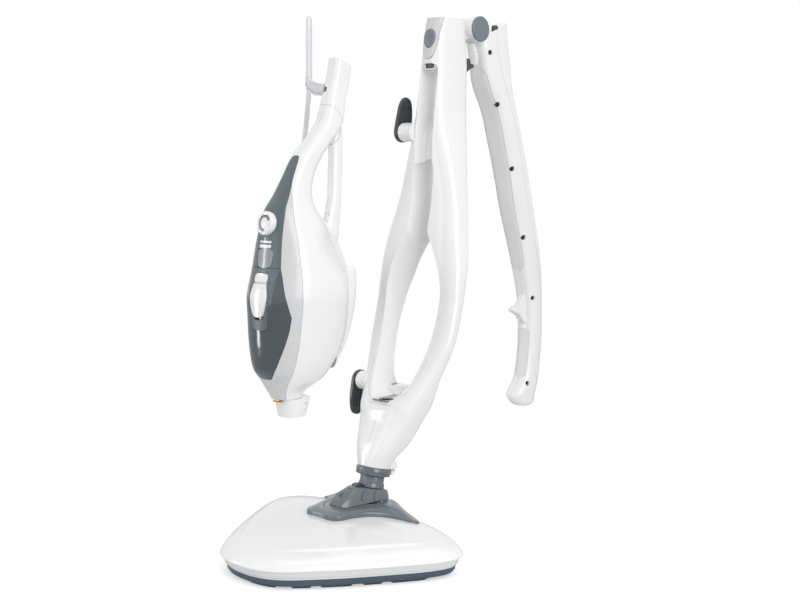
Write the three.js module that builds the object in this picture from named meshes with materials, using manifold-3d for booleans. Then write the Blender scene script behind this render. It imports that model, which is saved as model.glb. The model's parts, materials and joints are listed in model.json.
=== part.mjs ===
// Steam mop with its hand steam unit lifted off: a floor head on a tilting, swivelling neck, a
// cradle-shaped mast with a folded handle behind it, and the hand unit standing off in front.
// Millimetres, +Z up. X runs across the mop (+X is its right side), -Y is the front, where the
// hand unit docks, and +Y is the back, where the handle folds down. The origin lies on the floor
// under the neck.
import * as THREE from 'three';
import { mergeVertices } from 'three/addons/utils/BufferGeometryUtils.js';
import Module from 'manifold-3d';

const wasm = await Module();
wasm.setup();

// ---------------------------------------------------------------- driving dimensions

const gap = 0.3; // play left between pieces that touch
const cut = 40; // how far a cutter runs past what it cuts
const flatness = 0.1; // facets closer to flat than this are merged

// head
const headWidth = 324; // across its two rear corners
const headFront = 208; // from the neck to the front tip
const headBack = 42; // from the neck to the back edge
const headHeight = 53.5; // top of the white cover
const headWall = 2.6;
const soleLug = 4.5; // height of the tread under the sole
const soleThick = 8;
const trayThick = 3;
const saddleTop = 61; // flat top of the grey saddle
const saddleWall = 3;

// neck
const pivotY = -6;
const pivotZ = 46;
const pinRadius = 4;
const barrelRadius = 12;
const barrelHalf = 13;
const lean = 12.5; // degrees that the neck leans back at rest
const neckRadius = 16.5;
const collarRadius = 21.7;
const collarFrom = 44; // along the neck, from the pivot
const collarHeight = 10;
const spigotRadius = 12;
const spigotTop = 78;
const hoseBore = 4.2; // steam passage

// mast
const seatZ = 181; // seat that carries the hand unit
const seatY = 27; // middle of the seat
const handLength = 412; // hand unit from its foot to the top of its sleeve
const mastWall = 3;
const mastHeadroom = 60; // mast above the top of the sleeve
const troughHalf = 15; // hollow that takes the sleeve
const troughBack = 119.5;
const channelHalf = 17.4; // channel that takes the rear bar of the grip
const channelBack = 118;
const buttonRadius = 12.5;
const buttonDrop = 26; // button below the mast's top
const hingeY = 177;
const hingeDrop = 10; // hinge below the mast's top
const hingePin = 4;
const hingeRadius = 15;
const hingeLugHalf = 8;
const cheekHalf = 19;
const discRadius = 16;
const discThick = 2.5;

// cord hooks on the left side
const hookRadius = 12;
const hookPlateRadius = 14;
const hookPlateThick = 5;
const hookReach = 41; // plate's end from the stub's middle

// handle
const handleDrop = 508; // from the hinge down to the tip, folded
const handleWall = 2.6;
const foldAngle = 158; // degrees from folded to straight

// hand unit
const dockTravel = 152; // how far it stands off in front of its docked place
const handWall = 2.6;
const dialRadius = 14;

// mains lead
const cordRadius = 3;
const coilRadius = 36; // to the middle of the turns
const coilAcross = 30; // along the coil's axis
const coilDeep = 24;

// ---------------------------------------------------------------- making solids

const rad = THREE.MathUtils.degToRad;

/** A closed geometry as a solid that can be cut and joined. */
function solidOf(geometry) {
  const bare = geometry.clone();
  bare.deleteAttribute('normal');
  bare.deleteAttribute('uv');
  const merged = mergeVertices(bare, 1e-4);
  return new wasm.Manifold(new wasm.Mesh({
    numProp: 3,
    vertProperties: Float32Array.from(merged.attributes.position.array),
    triVerts: Uint32Array.from(merged.index.array),
  }));
}

/** A solid as a geometry, without the facets that are flatter than anyone could see. */
function geometryOf(solid) {
  const mesh = solid.simplify(flatness).getMesh();
  const geometry = new THREE.BufferGeometry();
  const places = new THREE.BufferAttribute(new Float32Array(mesh.vertProperties), 3);
  geometry.setAttribute('position', places);
  geometry.setIndex(new THREE.BufferAttribute(new Uint32Array(mesh.triVerts), 1));
  geometry.computeVertexNormals();
  return geometry;
}

/** Joins rings of points, each with as many points, into a closed solid with flat ends. */
function loft(rings) {
  const count = rings[0].length;
  const points = rings.flat();
  const index = [];
  for (let i = 0; i + 1 < rings.length; i += 1) {
    for (let k = 0; k < count; k += 1) {
      const a = i * count + k;
      const b = i * count + ((k + 1) % count);
      index.push(a, b, b + count, a, b + count, a + count);
    }
  }
  for (const [ring, flip] of [[0, true], [rings.length - 1, false]]) {
    const middle = points.length;
    const sum = rings[ring].reduce((s, p) => s.add(p), new THREE.Vector3());
    points.push(sum.divideScalar(count));
    for (let k = 0; k < count; k += 1) {
      const a = ring * count + k;
      const b = ring * count + ((k + 1) % count);
      index.push(...(flip ? [b, a, middle] : [a, b, middle]));
    }
  }
  const volume = index.reduce((sum, _, k) => {
    if (k % 3) return sum;
    const [a, b, c] = [points[index[k]], points[index[k + 1]], points[index[k + 2]]];
    return sum + a.dot(b.clone().cross(c));
  }, 0);
  const geometry = new THREE.BufferGeometry().setFromPoints(points);
  if (volume < 0) index.reverse();
  geometry.setIndex(index);
  return solidOf(geometry);
}

/**
 * Extrudes an outline of [u, v] points between two places along an axis. The points are (y, z) for
 * 'x', (x, z) for 'y' and (x, y) for 'z'.
 */
function prism(axis, outline, from, to) {
  const shape = new THREE.Shape(outline.map(([u, v]) => new THREE.Vector2(u, v)));
  const geometry = new THREE.ExtrudeGeometry(shape, { depth: to - from, bevelEnabled: false });
  const [x, y, z] = [new THREE.Vector3(1, 0, 0), new THREE.Vector3(0, 1, 0), new THREE.Vector3(0, 0, 1)];
  if (axis === 'z') geometry.translate(0, 0, from);
  if (axis === 'x') {
    geometry.applyMatrix4(new THREE.Matrix4().makeBasis(y, z, x));
    geometry.translate(from, 0, 0);
  }
  if (axis === 'y') {
    geometry.applyMatrix4(new THREE.Matrix4().makeBasis(x, z, y.clone().negate()));
    geometry.translate(0, to, 0);
  }
  return solidOf(geometry);
}

function box(x0, x1, y0, y1, z0, z1) {
  const geometry = new THREE.BoxGeometry(x1 - x0, y1 - y0, z1 - z0);
  geometry.translate((x0 + x1) / 2, (y0 + y1) / 2, (z0 + z1) / 2);
  return solidOf(geometry);
}

/** A cylinder along an axis. middle holds its other two coordinates. */
function rod(axis, radius, from, to, middle, { sides = 24 } = {}) {
  const geometry = new THREE.CylinderGeometry(radius, radius, to - from, sides);
  const centre = (from + to) / 2;
  if (axis === 'x') {
    geometry.rotateZ(-Math.PI / 2);
    geometry.translate(centre, middle[0], middle[1]);
  }
  if (axis === 'y') geometry.translate(middle[0], centre, middle[1]);
  if (axis === 'z') {
    geometry.rotateX(Math.PI / 2);
    geometry.translate(middle[0], middle[1], centre);
  }
  return solidOf(geometry);
}

/** A ring or a tube: a rod with a hole through it. */
function tube(axis, outer, inner, from, to, middle, sides = 24) {
  const hole = rod(axis, inner, from - 1, to + 1, middle, { sides });
  return rod(axis, outer, from, to, middle, { sides }).subtract(hole);
}

/** Several solids as one. */
const joined = (solids) => solids.reduce((all, next) => all.add(next));

/** Points of a smooth curve through [u, v] points, closed or open. */
function smooth(points, steps, closed = false) {
  const list = points.map(([u, v]) => new THREE.Vector3(u, v, 0));
  const curve = new THREE.CatmullRomCurve3(list, closed, 'centripetal');
  const found = curve.getPoints(steps).map((p) => [p.x, p.y]);
  return closed ? found.slice(0, -1) : found;
}

/** The right half of an outline, bottom to top as [half width, height], with its mirror image. */
function mirrored(half) {
  const left = half.map(([x, z]) => [-x, z]).reverse();
  return [...half, ...left].filter(([x], k, all) => !(k > 0 && x === 0 && all[k - 1][0] === 0));
}

/** A value between the rows of a table, each row [place, value, ...], by a smooth curve. */
function between(rows, place) {
  const last = rows.length - 2;
  const k = Math.min(Math.max(rows.findIndex((row) => row[0] > place) - 1, 0), last);
  const i = place >= rows[last + 1][0] ? last : k;
  const [a, b] = [rows[i], rows[i + 1]];
  const t = (place - a[0]) / (b[0] - a[0]);
  const slope = (n, column) => {
    const [p, q] = [rows[Math.max(n - 1, 0)], rows[Math.min(n + 1, last + 1)]];
    return ((q[column] - p[column]) / (q[0] - p[0])) * (b[0] - a[0]);
  };
  return a.slice(1).map((value, n) => {
    const [from, to] = [slope(i, n + 1), slope(i + 1, n + 1)];
    const change = b[n + 1] - value;
    const rest = t * (t * (from + to - 2 * change) + 3 * change - 2 * from - to) + from;
    return value + t * rest;
  });
}

/** One level section: a superellipse, round in front and behind by its own exponents. */
function section(z, [front, back, half, roundFront, roundBack, middle], inset, sides) {
  const centre = middle ?? (front + back) / 2;
  return Array.from({ length: sides }, (_, k) => {
    const turn = (2 * Math.PI * k) / sides;
    const [s, c] = [Math.sin(turn), Math.cos(turn)];
    const power = 2 / (c >= 0 ? roundFront : roundBack);
    const reach = c >= 0 ? centre - front - inset : back - centre - inset;
    const x = (half - inset) * Math.sign(s) * Math.abs(s) ** power;
    return new THREE.Vector3(x, centre - reach * Math.sign(c) * Math.abs(c) ** power, z);
  });
}

/** A body of level sections that follows a table of rows [z, front, back, half, round, round, middle]. */
function column(rows, { inset = 0, lift = inset, sides = inset > gap ? 12 : 20 } = {}) {
  const [bottom, top] = [rows[0][0] + lift, rows[rows.length - 1][0] - lift];
  const levels = rows.map(([z]) => z).filter((z) => z > bottom + 1 && z < top - 1);
  return loft([bottom, ...levels, top].map((z) => section(z, between(rows, z), inset, sides)));
}

// ---------------------------------------------------------------- materials

const finish = (color, roughness, metalness = 0, more = {}) => (
  () => new THREE.MeshStandardMaterial({ color, roughness, metalness, ...more }));
const white = finish(0xf1f2f4, 0.22);
const paleGrey = finish(0xd5d8dc, 0.3);
const grey = finish(0x8a9197, 0.42);
const darkGrey = finish(0x5d6a70, 0.4);
const slate = finish(0x4d5d6b, 0.55);
const black = finish(0x23282c, 0.5);
const smoky = finish(0x55606a, 0.12, 0, { transparent: true, opacity: 0.6 });
const steel = finish(0xb9bec3, 0.3, 1);
const brass = finish(0xb48a4a, 0.35, 1);
const rubber = finish(0x2c3034, 0.7);
const board = finish(0x2f6b45, 0.5);
const cordWhite = finish(0xe4e6e8, 0.5);

const mop = new THREE.Group();

/** Adds a piece to a group under its own name. */
function piece(group, name, shape, material) {
  const mesh = new THREE.Mesh(shape.isBufferGeometry ? shape : geometryOf(shape), material());
  mesh.name = name;
  group.add(mesh);
  return mesh;
}

// ---------------------------------------------------------------- head

const head = new THREE.Group();
mop.add(head);

/** The head's outline from above, drawn in or out about its middle. */
function headOutline(scale, steps = 32) {
  const half = headWidth / 2;
  const right = [
    [0, -headFront], [0.27 * half, -0.952 * headFront], [0.53 * half, -0.74 * headFront],
    [0.8 * half, -0.43 * headFront], [0.965 * half, -0.2 * headFront], [half, -0.08 * headFront],
    [0.95 * half, 0.03 * headBack], [0.78 * half, 0.45 * headBack], [0.5 * half, 0.82 * headBack],
  ];
  const left = right.slice(1).map(([x, y]) => [-x, y]).reverse();
  const loop = smooth([...right, [0, headBack], ...left], steps, true);
  const centre = (headBack - headFront) * 0.36;
  return loop.map(([x, y]) => [x * scale, centre + (y - centre) * scale]);
}

/** The dome of the head: [scale of the outline, height] from the lip to the crown. */
const domeRows = [[0.955, 12.5], [1, 22], [0.992, 28], [0.945, 35], [0.86, 41], [0.74, 46], [0.58, 50],
  [0.38, 52.5], [0.16, headHeight]];

function dome(raise, from = 0) {
  const rings = domeRows.slice(from).map(([scale, z]) => (
    headOutline(scale).map(([x, y]) => new THREE.Vector3(x, y, z + raise))));
  return loft(rings);
}

/** The inside of the dome, open at the bottom. */
function domeHollow(wall) {
  const rings = domeRows.map(([scale, z], k) => {
    const inner = scale - wall / 95;
    const height = k === 0 ? z - 1 : z - (k < 3 ? 0 : wall);
    return headOutline(inner).map(([x, y]) => new THREE.Vector3(x, y, height));
  });
  return loft(rings);
}

// room for the foot of the neck to swing back
const neckPocket = box(-24, 24, -24, 32, 33, 90);
const trayTop = soleLug + soleThick + gap + trayThick;
const headScrews = [[-70, -110], [70, -110], [-100, -20], [100, -20]];

const saddleOutline = (() => {
  const right = [[0, -86], [22, -84.5], [28, -79], [33, -60], [43, -36], [62, -16], [86, -4], [88, 3],
    [78, 12], [56, 20], [30, 25]];
  return [...right, ...right.slice(1).map(([x, y]) => [-x, y]).reverse()];
})();

const coverBosses = joined(headScrews.map(([x, y]) => (
  rod('z', 5, trayTop + gap, headHeight + 20, [x, y], { sides: 12 }))));
const coverHoles = joined(headScrews.map(([x, y]) => (
  rod('z', 1.9, trayTop - 4, trayTop + 13, [x, y], { sides: 10 }))));
piece(head, 'head_cover', dome(0).subtract(domeHollow(headWall))
  .add(coverBosses.intersect(dome(-1)))
  .subtract(coverHoles)
  .subtract(neckPocket), white);

const soleBody = prism('z', headOutline(0.945), soleLug, soleLug + soleThick);
const lugNotches = Array.from({ length: 12 }, (_, k) => {
  const turn = (2 * Math.PI * (k + 0.5)) / 12;
  const notch = box(-5, 5, -260, -52, -1, soleLug + 0.01).rotate([0, 0, (turn * 180) / Math.PI]);
  return notch.translate([0, -60, 0]);
});
const tread = prism('z', headOutline(0.93), 0, soleLug + 1)
  .subtract(prism('z', headOutline(0.72), -1, soleLug))
  .add(prism('z', headOutline(0.64), 0, soleLug + 1))
  .subtract(joined(lugNotches));
const steamHoles = joined([[-60, -92], [-30, -128], [30, -128], [60, -92], [-40, -60], [40, -60]].map(
  ([x, y]) => rod('z', 2, -1, soleLug + soleThick + 1, [x, y], { sides: 10 })));
const soleScrewWells = joined(headScrews.map(([x, y]) => (
  rod('z', 4.6, -1, soleLug + soleThick + 1, [x, y], { sides: 14 }))));
piece(head, 'sole_plate', soleBody.add(tread).subtract(steamHoles).subtract(soleScrewWells), slate);

const trayBottom = trayTop - trayThick;
const pinBrackets = joined([-1, 1].map((side) => {
  const near = side * (barrelHalf + gap);
  const far = side * (barrelHalf + 6);
  const ear = [[pivotY - 12, trayTop - 1], [pivotY + 12, trayTop - 1], [pivotY + 7, pivotZ - 4],
    [pivotY + 4, pivotZ + 5], [pivotY - 4, pivotZ + 5], [pivotY - 7, pivotZ - 4]];
  return prism('x', ear, Math.min(near, far), Math.max(near, far));
}));
const pinBore = rod('x', pinRadius + gap, -30, 30, [pivotY, pivotZ]);
const trayScrewHoles = joined(headScrews.map(([x, y]) => (
  rod('z', 2.3, trayBottom - 1, trayTop + 1, [x, y], { sides: 12 }))));
piece(head, 'base_tray', prism('z', headOutline(0.9), trayBottom, trayTop)
  .add(pinBrackets)
  .subtract(pinBore)
  .subtract(trayScrewHoles)
  .subtract(rod('z', 6, trayBottom - 1, trayTop + 1, [0, -60], { sides: 16 })), paleGrey);

piece(head, 'tilt_pin', rod('x', pinRadius, -barrelHalf - 6, barrelHalf + 6, [pivotY, pivotZ]), steel);

// steam spreader under the cover: a flat chamber fed by a nipple
const spreader = prism('z', headOutline(0.4).map(([x, y]) => [x, y - 8]), trayTop + gap, trayTop + 9)
  .add(rod('z', 5, trayTop + 5, trayTop + 17, [0, -60], { sides: 16 }))
  .subtract(rod('z', 2.5, trayTop - 1, trayTop + 18, [0, -60], { sides: 12 }))
  .subtract(box(-20, 20, -34, 20, trayTop - 2, trayTop + 30));
piece(head, 'steam_spreader', spreader, darkGrey);

const plateau = prism('z', [[-26, -82], [26, -82], [31, -60], [36, -38], [38, -10], [30, 14], [-30, 14],
  [-38, -10], [-36, -38], [-31, -60]], headHeight - 18, saddleTop);
piece(head, 'saddle_cover', dome(saddleWall + gap).subtract(dome(gap))
  .intersect(prism('z', saddleOutline, 20, 90))
  .add(plateau.subtract(dome(gap)))
  .subtract(neckPocket)
  .subtract(box(-16, 16, -34, -20, 30, 90)), grey);

// ---------------------------------------------------------------- neck

const neck = new THREE.Group();
neck.position.set(0, pivotY, pivotZ);
neck.rotation.x = -rad(lean);
mop.add(neck);

/** The yoke's outline from above: narrow at the front, widest beside the pivot. */
function yokeRing(z, front, back, nose, side) {
  return [[-nose, front], [nose, front], [side, -4], [side, back - 8], [side - 5, back], [5 - side, back],
    [-side, back - 8], [-side, -4]].map(([x, y]) => new THREE.Vector3(x, y, z));
}
const steamPassage = rod('z', hoseBore, -30, spigotTop + 20, [0, 0], { sides: 16 });
const yoke = loft([yokeRing(8 + 7, -45, 19, 11, 21.5), yokeRing(28.5, -31, 17, 8.5, 17.5)])
  .add(rod('x', barrelRadius, -barrelHalf, barrelHalf, [0, 0]))
  .add(box(-barrelHalf, barrelHalf, -9, 9, 0, 20))
  .subtract(rod('x', pinRadius + gap, -cut, cut, [0, 0]))
  .subtract(steamPassage);
piece(neck, 'neck_yoke', yoke, grey);

piece(neck, 'neck_tube', rod('z', neckRadius, 28.5 + gap, collarFrom - gap, [0, 0], { sides: 32 })
  .add(rod('z', spigotRadius, collarFrom - 2, spigotTop, [0, 0], { sides: 24 }))
  .subtract(rod('z', hoseBore, -30, spigotTop + 20, [0, 0], { sides: 16 })), darkGrey);
const collarTop = collarFrom + collarHeight;
const collar = tube('z', collarRadius, spigotRadius + gap, collarFrom, collarTop, [0, 0], 32);
piece(neck, 'neck_collar', collar, grey);
piece(neck, 'yoke_clip', box(-5, 5, -29, -20, 28.5 + gap, 33), black);

// ---------------------------------------------------------------- mast

const mast = new THREE.Group();
mop.add(mast);

/** A height on the mast or the hand unit, as a share of the hand unit above the seat. */
const up = (share) => seatZ + 1 + share * handLength;
const mastTop = up(1) + mastHeadroom;
const hingeZ = mastTop - hingeDrop;
const neckSin = Math.sin(rad(lean));
const neckCos = Math.cos(rad(lean));
/** The world place of a point along the neck's axis. */
const alongNeck = (distance) => [pivotY + distance * neckSin, pivotZ + distance * neckCos];
const mastFoot = alongNeck(collarTop + gap)[1] - 6;

// rows: height, front, back, half width, roundness front and back
const mastRows = [
  [mastFoot, -13, 23.5, 18, 2.3, 2.3],
  [mastFoot + 11, -12, 27, 21, 2.5, 2.5],
  [125, -6.3, 49.7, 29, 3.2, 3.2],
  [157, 8.4, 66.6, 41, 3.2, 3.2],
  [172, 13.3, 74, 47, 3.2, 3.2],
  [up(0.058), 36, 76, 57, 3.2, 3.2],
  [up(0.165), 58, 88.5, 68.5, 3.2, 3.2],
  [up(0.286), 71, 102, 70, 3.2, 3.2],
  [up(0.34), 73, 108, 69.5, 3.2, 3.2],
  [up(0.413), 76, 115.5, 67.5, 3.2, 3.2],
  [up(0.488), 80, 123, 61, 3.2, 3.2],
  [up(0.592), 89, 132, 51, 3.2, 3.2],
  [up(0.706), 92, 143, 40.5, 3.2, 3.2],
  [up(0.806), 93, 153.5, 29, 3.2, 3.2],
  [up(0.881), 95.5, 157, 24, 3.2, 3.2],
  [up(1), 100.5, 160.5, 21, 3.2, 3.2],
  [mastTop - 27, 104, 160.5, 18, 3.2, 3.2],
  [mastTop, 109.5, 160, 15.5, 3.2, 3.2],
];

/** Half the gap of the window between the two arms, in front and behind, against the height. */
const windowRows = [
  [seatZ, 14, 14], [seatZ + 1.5, 18, 18], [seatZ + 5, 22.5, 22], [seatZ + 11, 27.5, 27],
  [up(0.058), 34.5, 31], [up(0.165), 43.5, 39], [up(0.286), 47, 37], [up(0.34), 46.6, 33],
  [up(0.413), 38, 25], [up(0.488), 22.5, 9], [up(0.515), 17.4, 1],
];

/** A ring of the window's outline at a depth, taken from the front gap to the back one. */
function windowRing(y, share, floor, grow = 0) {
  const top = windowRows[windowRows.length - 1][0];
  const steps = 18;
  const side = Array.from({ length: steps + 1 }, (_, k) => {
    const t = k / steps;
    const z = seatZ + (top - seatZ) * t ** 1.5;
    const [front, back] = between(windowRows, z);
    return [front + (back - front) * share + grow, Math.max(z, floor) - (k === 0 ? grow : 0)];
  });
  const right = side.map(([x, z]) => new THREE.Vector3(x, y, z));
  const left = side.map(([x, z]) => new THREE.Vector3(-x, y, z)).reverse();
  return [...right, ...left];
}

/** The opening between the arms; grow widens it by a wall. */
function windowCutter(grow) {
  const backFloor = seatZ + 11;
  return loft([
    windowRing(-60, 0, seatZ, grow), windowRing(seatY + 23 + grow, 0, seatZ, grow),
    windowRing(seatY + 31 + grow, 0, backFloor, grow), windowRing(72, 0, backFloor, grow),
    windowRing(112, 1, backFloor, grow), windowRing(180, 1, backFloor, grow),
  ]);
}

/** The hollow down the front that takes the sleeve and the grip's rear bar. */
function frontHollow(grow) {
  const trough = prism('x', [[40, up(0.7) - grow], [108 + grow, up(0.7) - grow], [112 + grow, up(0.8)],
    [troughBack + grow, up(0.834)], [troughBack + grow, up(0.982) + grow], [92, up(1.016) + grow],
    [40, up(1.016) + grow]], -troughHalf - grow, troughHalf + grow);
  const half = channelHalf + grow;
  const arch = [[half, up(0.46)], [half, up(0.69)], [half * 0.8, up(0.708)],
    [half * 0.4, up(0.718) + grow]];
  return trough.add(prism('y', mirrored(arch), 40, channelBack + grow));
}

/** A length of the neck's axis as a rod, in world places. */
function neckRod(radius, from, to, sides = 24) {
  return rod('z', radius, from, to, [0, 0], { sides }).rotate([-lean, 0, 0]).translate([0, pivotY, pivotZ]);
}

const hingeAt = [hingeY, hingeZ];
const lugFront = 150;
const hingeLug = rod('x', hingeRadius, -hingeLugHalf, hingeLugHalf, hingeAt)
  .add(box(-hingeLugHalf, hingeLugHalf, lugFront, hingeY, hingeZ - 13, hingeZ + 7));
const hingeRoom = rod('x', discRadius + gap, -cheekHalf - gap, cheekHalf + gap, hingeAt, { sides: 32 });
const buttonZ = mastTop - buttonDrop;
const mastOuter = column(mastRows);
const mastHollow = column(mastRows, { inset: mastWall })
  .subtract(windowCutter(mastWall))
  .subtract(frontHollow(mastWall))
  .subtract(box(-80, 80, -40, 200, 60, alongNeck(spigotTop)[1] - 16));
const buttonWell = rod('y', buttonRadius + gap, 60, 126, [0, buttonZ]);
const bezelOutline = mirrored([[0, up(1.02)], [6, up(1.025)], [10.5, up(1.05)], [12.6, mastTop - 22],
  [13.3, mastTop - 8], [13.3, mastTop + 5], [0, mastTop + 5]]);
const boltSlot = box(-8 - gap, 8 + gap, 106.5, 113.5, up(0.97), up(1.07));
const socketBore = rod('z', 9 + gap, seatZ - 30, seatZ + 5, [0, seatY]);

const upperHook = { y: 99, z: up(0.802), inner: 18, outer: 41 };
const lowerHook = { y: 46, z: seatZ + 14, inner: 46, outer: 65 };
const hookPin = 3;
const hookStub = ({ y, z, inner, outer }) => rod('x', hookRadius, -outer, -inner, [y, z]);
const hookBore = ({ y, z, outer }) => rod('x', hookPin + gap, -outer - 1, -outer + 14, [y, z]);

let mastBody = mastOuter
  .subtract(windowCutter(0))
  .subtract(frontHollow(0))
  .subtract(mastHollow)
  .subtract(hingeRoom)
  .add(hingeLug)
  .add(hookStub(upperHook))
  .add(hookStub(lowerHook))
  .subtract(hookBore(upperHook))
  .subtract(hookBore(lowerHook))
  .subtract(rod('x', hingePin + gap, -40, 40, hingeAt))
  .subtract(neckRod(spigotRadius + gap, 30, spigotTop + 1))
  .subtract(neckRod(60, 0, collarTop + gap, 16))
  .subtract(socketBore)
  .subtract(prism('y', bezelOutline, 60, 117))
  .subtract(boltSlot)
  .subtract(buttonWell);
const largest = (solid) => solid.decompose().sort((a, b) => b.volume() - a.volume())[0];
mastBody = largest(mastBody);
piece(mast, 'mast_shell_right', largest(mastBody.intersect(box(gap / 2, 120, -60, 260, 0, 900))), white);
piece(mast, 'mast_shell_left', largest(mastBody.intersect(box(-120, -gap / 2, -60, 260, 0, 900))), white);

const ellipse = (rx, rz, z, sides = 28) => Array.from({ length: sides }, (_, k) => {
  const turn = (2 * Math.PI * k) / sides;
  return [rx * Math.cos(turn), z + rz * Math.sin(turn)];
});
const buttonFront = between(mastRows, buttonZ)[0];
const bezelSkin = column(mastRows, { inset: -1, lift: 0 })
  .subtract(column(mastRows, { inset: 2, lift: -5 }));
const bezelInner = mirrored([[0, up(1.02) + gap], [6 - gap, up(1.025) + gap], [10.5 - gap, up(1.05)],
  [12.6 - gap, mastTop - 22], [13.3 - gap, mastTop - 8], [13.3 - gap, mastTop], [0, mastTop]]);
piece(mast, 'button_bezel', bezelSkin.intersect(prism('y', bezelInner, 60, 117 - gap))
  .subtract(prism('y', ellipse(9.3 + gap, 11.7 + gap, buttonZ), 60, 130)), paleGrey);
const buttonBack = 121;
const buttonBody = prism('y', ellipse(9.3, 11.7, buttonZ), buttonFront - 1.6, buttonBack);
piece(mast, 'release_button', buttonBody, grey);
const spring = tube('y', 4.5, 3.2, buttonBack + gap, lugFront - gap, [0, buttonZ + 3], 12);
piece(mast, 'button_spring', spring, steel);
piece(mast, 'latch_bolt', box(-8, 8, 106.8, 113.2, up(0.995), up(1.045)), black);

// steam way from the seat to the neck
const socketBottom = seatZ - 20;
piece(mast, 'steam_socket', tube('z', 9, 5, socketBottom, seatZ - 1, [0, seatY], 20), rubber);

/** A round bar of changing radius through points; each row is [x, y, z, radius]. */
function sweep(rows, { sides = 10, steps = 10 } = {}) {
  const places = rows.map(([x, y, z]) => new THREE.Vector3(x, y, z));
  const curve = new THREE.CatmullRomCurve3(places, false, 'centripetal');
  const frames = curve.computeFrenetFrames(steps, false);
  const radii = rows.map(([, , , radius], k) => [k / (rows.length - 1), radius]);
  return loft(Array.from({ length: steps + 1 }, (_, i) => {
    const at = curve.getPointAt(i / steps);
    const radius = between(radii, i / steps)[0];
    return Array.from({ length: sides }, (__, k) => {
      const turn = (2 * Math.PI * k) / sides;
      return at.clone().addScaledVector(frames.normals[i], radius * Math.cos(turn))
        .addScaledVector(frames.binormals[i], radius * Math.sin(turn));
    });
  }));
}
const pipeEnd = alongNeck(spigotTop + gap + 0.6);
const pipeBend = alongNeck(spigotTop + 10);
const pipeRadius = 4.5;
const pipeMiddle = [(pipeBend[0] + seatY) / 2, (pipeBend[1] + socketBottom) / 2];
const steamPipe = sweep([
  [0, seatY, socketBottom - gap, pipeRadius], [0, seatY, socketBottom - 6, pipeRadius],
  [0, ...pipeMiddle, pipeRadius], [0, ...pipeBend, pipeRadius], [0, ...pipeEnd, pipeRadius],
]);
piece(mast, 'mast_steam_pipe', steamPipe, darkGrey);

// cord hooks: a dark plate on the outer end of each stub, the upper one pointing up, the lower one down
const hookOutline = [
  ...Array.from({ length: 9 }, (_, k) => {
    const turn = Math.PI + (Math.PI * k) / 8;
    return [hookPlateRadius * Math.cos(turn), hookPlateRadius * Math.sin(turn)];
  }),
  [13.2, hookReach * 0.7], [10, hookReach * 0.93], [4, hookReach + 3], [-5, hookReach + 4],
  [-12, hookReach], [-14, hookReach * 0.85],
];
const hooks = [['upper_hook', upperHook, -lean], ['lower_hook', lowerHook, 180 - lean]];
for (const [name, hook, turn] of hooks) {
  const plate = prism('x', hookOutline, -hook.outer - hookPlateThick - gap, -hook.outer - gap)
    .subtract(rod('x', hookPin + gap, -hook.outer - 20, -hook.outer + 20, [0, 0]))
    .rotate([turn, 0, 0]).translate([0, hook.y, hook.z]);
  const outside = -hook.outer - hookPlateThick - 2 * gap;
  piece(mast, name, plate, black);
  piece(mast, `${name}_pin`, rod('x', hookPin, outside, -hook.outer + 13, [hook.y, hook.z], { sides: 16 })
    .add(rod('x', 6.5, outside - 2, outside, [hook.y, hook.z], { sides: 20 })), grey);
}

// ---------------------------------------------------------------- handle, folded down behind the mast

const handle = new THREE.Group();
mop.add(handle);

/** A height on the folded handle, as a share of its length below the hinge. */
const down = (share) => hingeZ - share * handleDrop;
const handleRows = [
  [down(1), 287, 309, 9, 2.2, 2.2],
  [down(0.99), 279, 312, 12, 2.4, 2.4],
  [down(0.967), 268, 313.5, 14, 2.6, 2.6],
  [down(0.955), 272, 315, 14.5, 2.8, 2.8],
  [down(0.92), 286, 319, 14.3, 2.8, 2.8],
  [down(0.81), 295, 325, 14.5, 2.8, 2.8],
  [down(0.7), 292, 324, 15, 2.8, 2.8],
  [down(0.575), 275, 317, 17, 2.8, 2.8],
  [down(0.462), 256, 302, 18, 2.8, 2.8],
  [down(0.35), 241, 287, 19, 2.8, 2.8],
  [down(0.275), 229.5, 274.5, 19.5, 2.8, 2.8],
  [down(0.202), 217, 263, 19.5, 2.8, 2.8],
  [down(0.133), 198, 253, 19.5, 2.8, 2.8],
  [down(0.07), 190, 249, 19.3, 2.8, 2.8],
  [down(0.03), 186, 245, 19.2, 2.8, 2.8],
  [hingeZ + 20, 186, 240, 19, 2.8, 2.8],
];

/** What the mast takes up as the handle stands up, seen from the folded handle. */
const mastPasses = joined([0, 12, 24, 36, 48].map((before) => (
  box(-60, 60, -220, -hingeRadius - gap, -220, hingeDrop + gap + 0.1)
    .rotate([before - foldAngle, 0, 0]).translate([0, hingeY, hingeZ]))));
const lugSweep = [0, -foldAngle].map((turn) => (
  box(-hingeLugHalf - gap, hingeLugHalf + gap, -45, 0, -13 - gap, 8).rotate([turn, 0, 0])
    .translate([0, hingeY, hingeZ])));
const cheeks = rod('x', discRadius, -cheekHalf, cheekHalf, hingeAt, { sides: 32 });
const spur = prism('x', [[279, down(0.66)], [290, down(0.69)], [290, down(0.775)], [281, down(0.765)],
  [270, down(0.742)], [265, down(0.728)], [271, down(0.71)]], -6, 6);
const handleOuter = column(handleRows).add(spur).subtract(mastPasses).add(cheeks);
const handleScrews = [[0.055, 199], [0.185, 216], [0.35, 247], [0.533, 274], [0.7, 298], [0.934, 289]]
  .map(([share, y]) => [y, down(share)]);
const handleBosses = joined(handleScrews.map(([y, z]) => rod('x', 4.2, -40, 40, [y, z], { sides: 8 })));
const handleHollow = column(handleRows, { inset: handleWall })
  .subtract(box(-60, 60, 100, 400, down(0.045), hingeZ + 60))
  .subtract(handleBosses);
const screwWells = joined(handleScrews.map(([y, z]) => (
  rod('x', 3.4, between(handleRows, z)[2] - 5, 60, [y, z], { sides: 12 })
    .add(rod('x', 1.7, -8, 60, [y, z], { sides: 6 })))));
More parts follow.
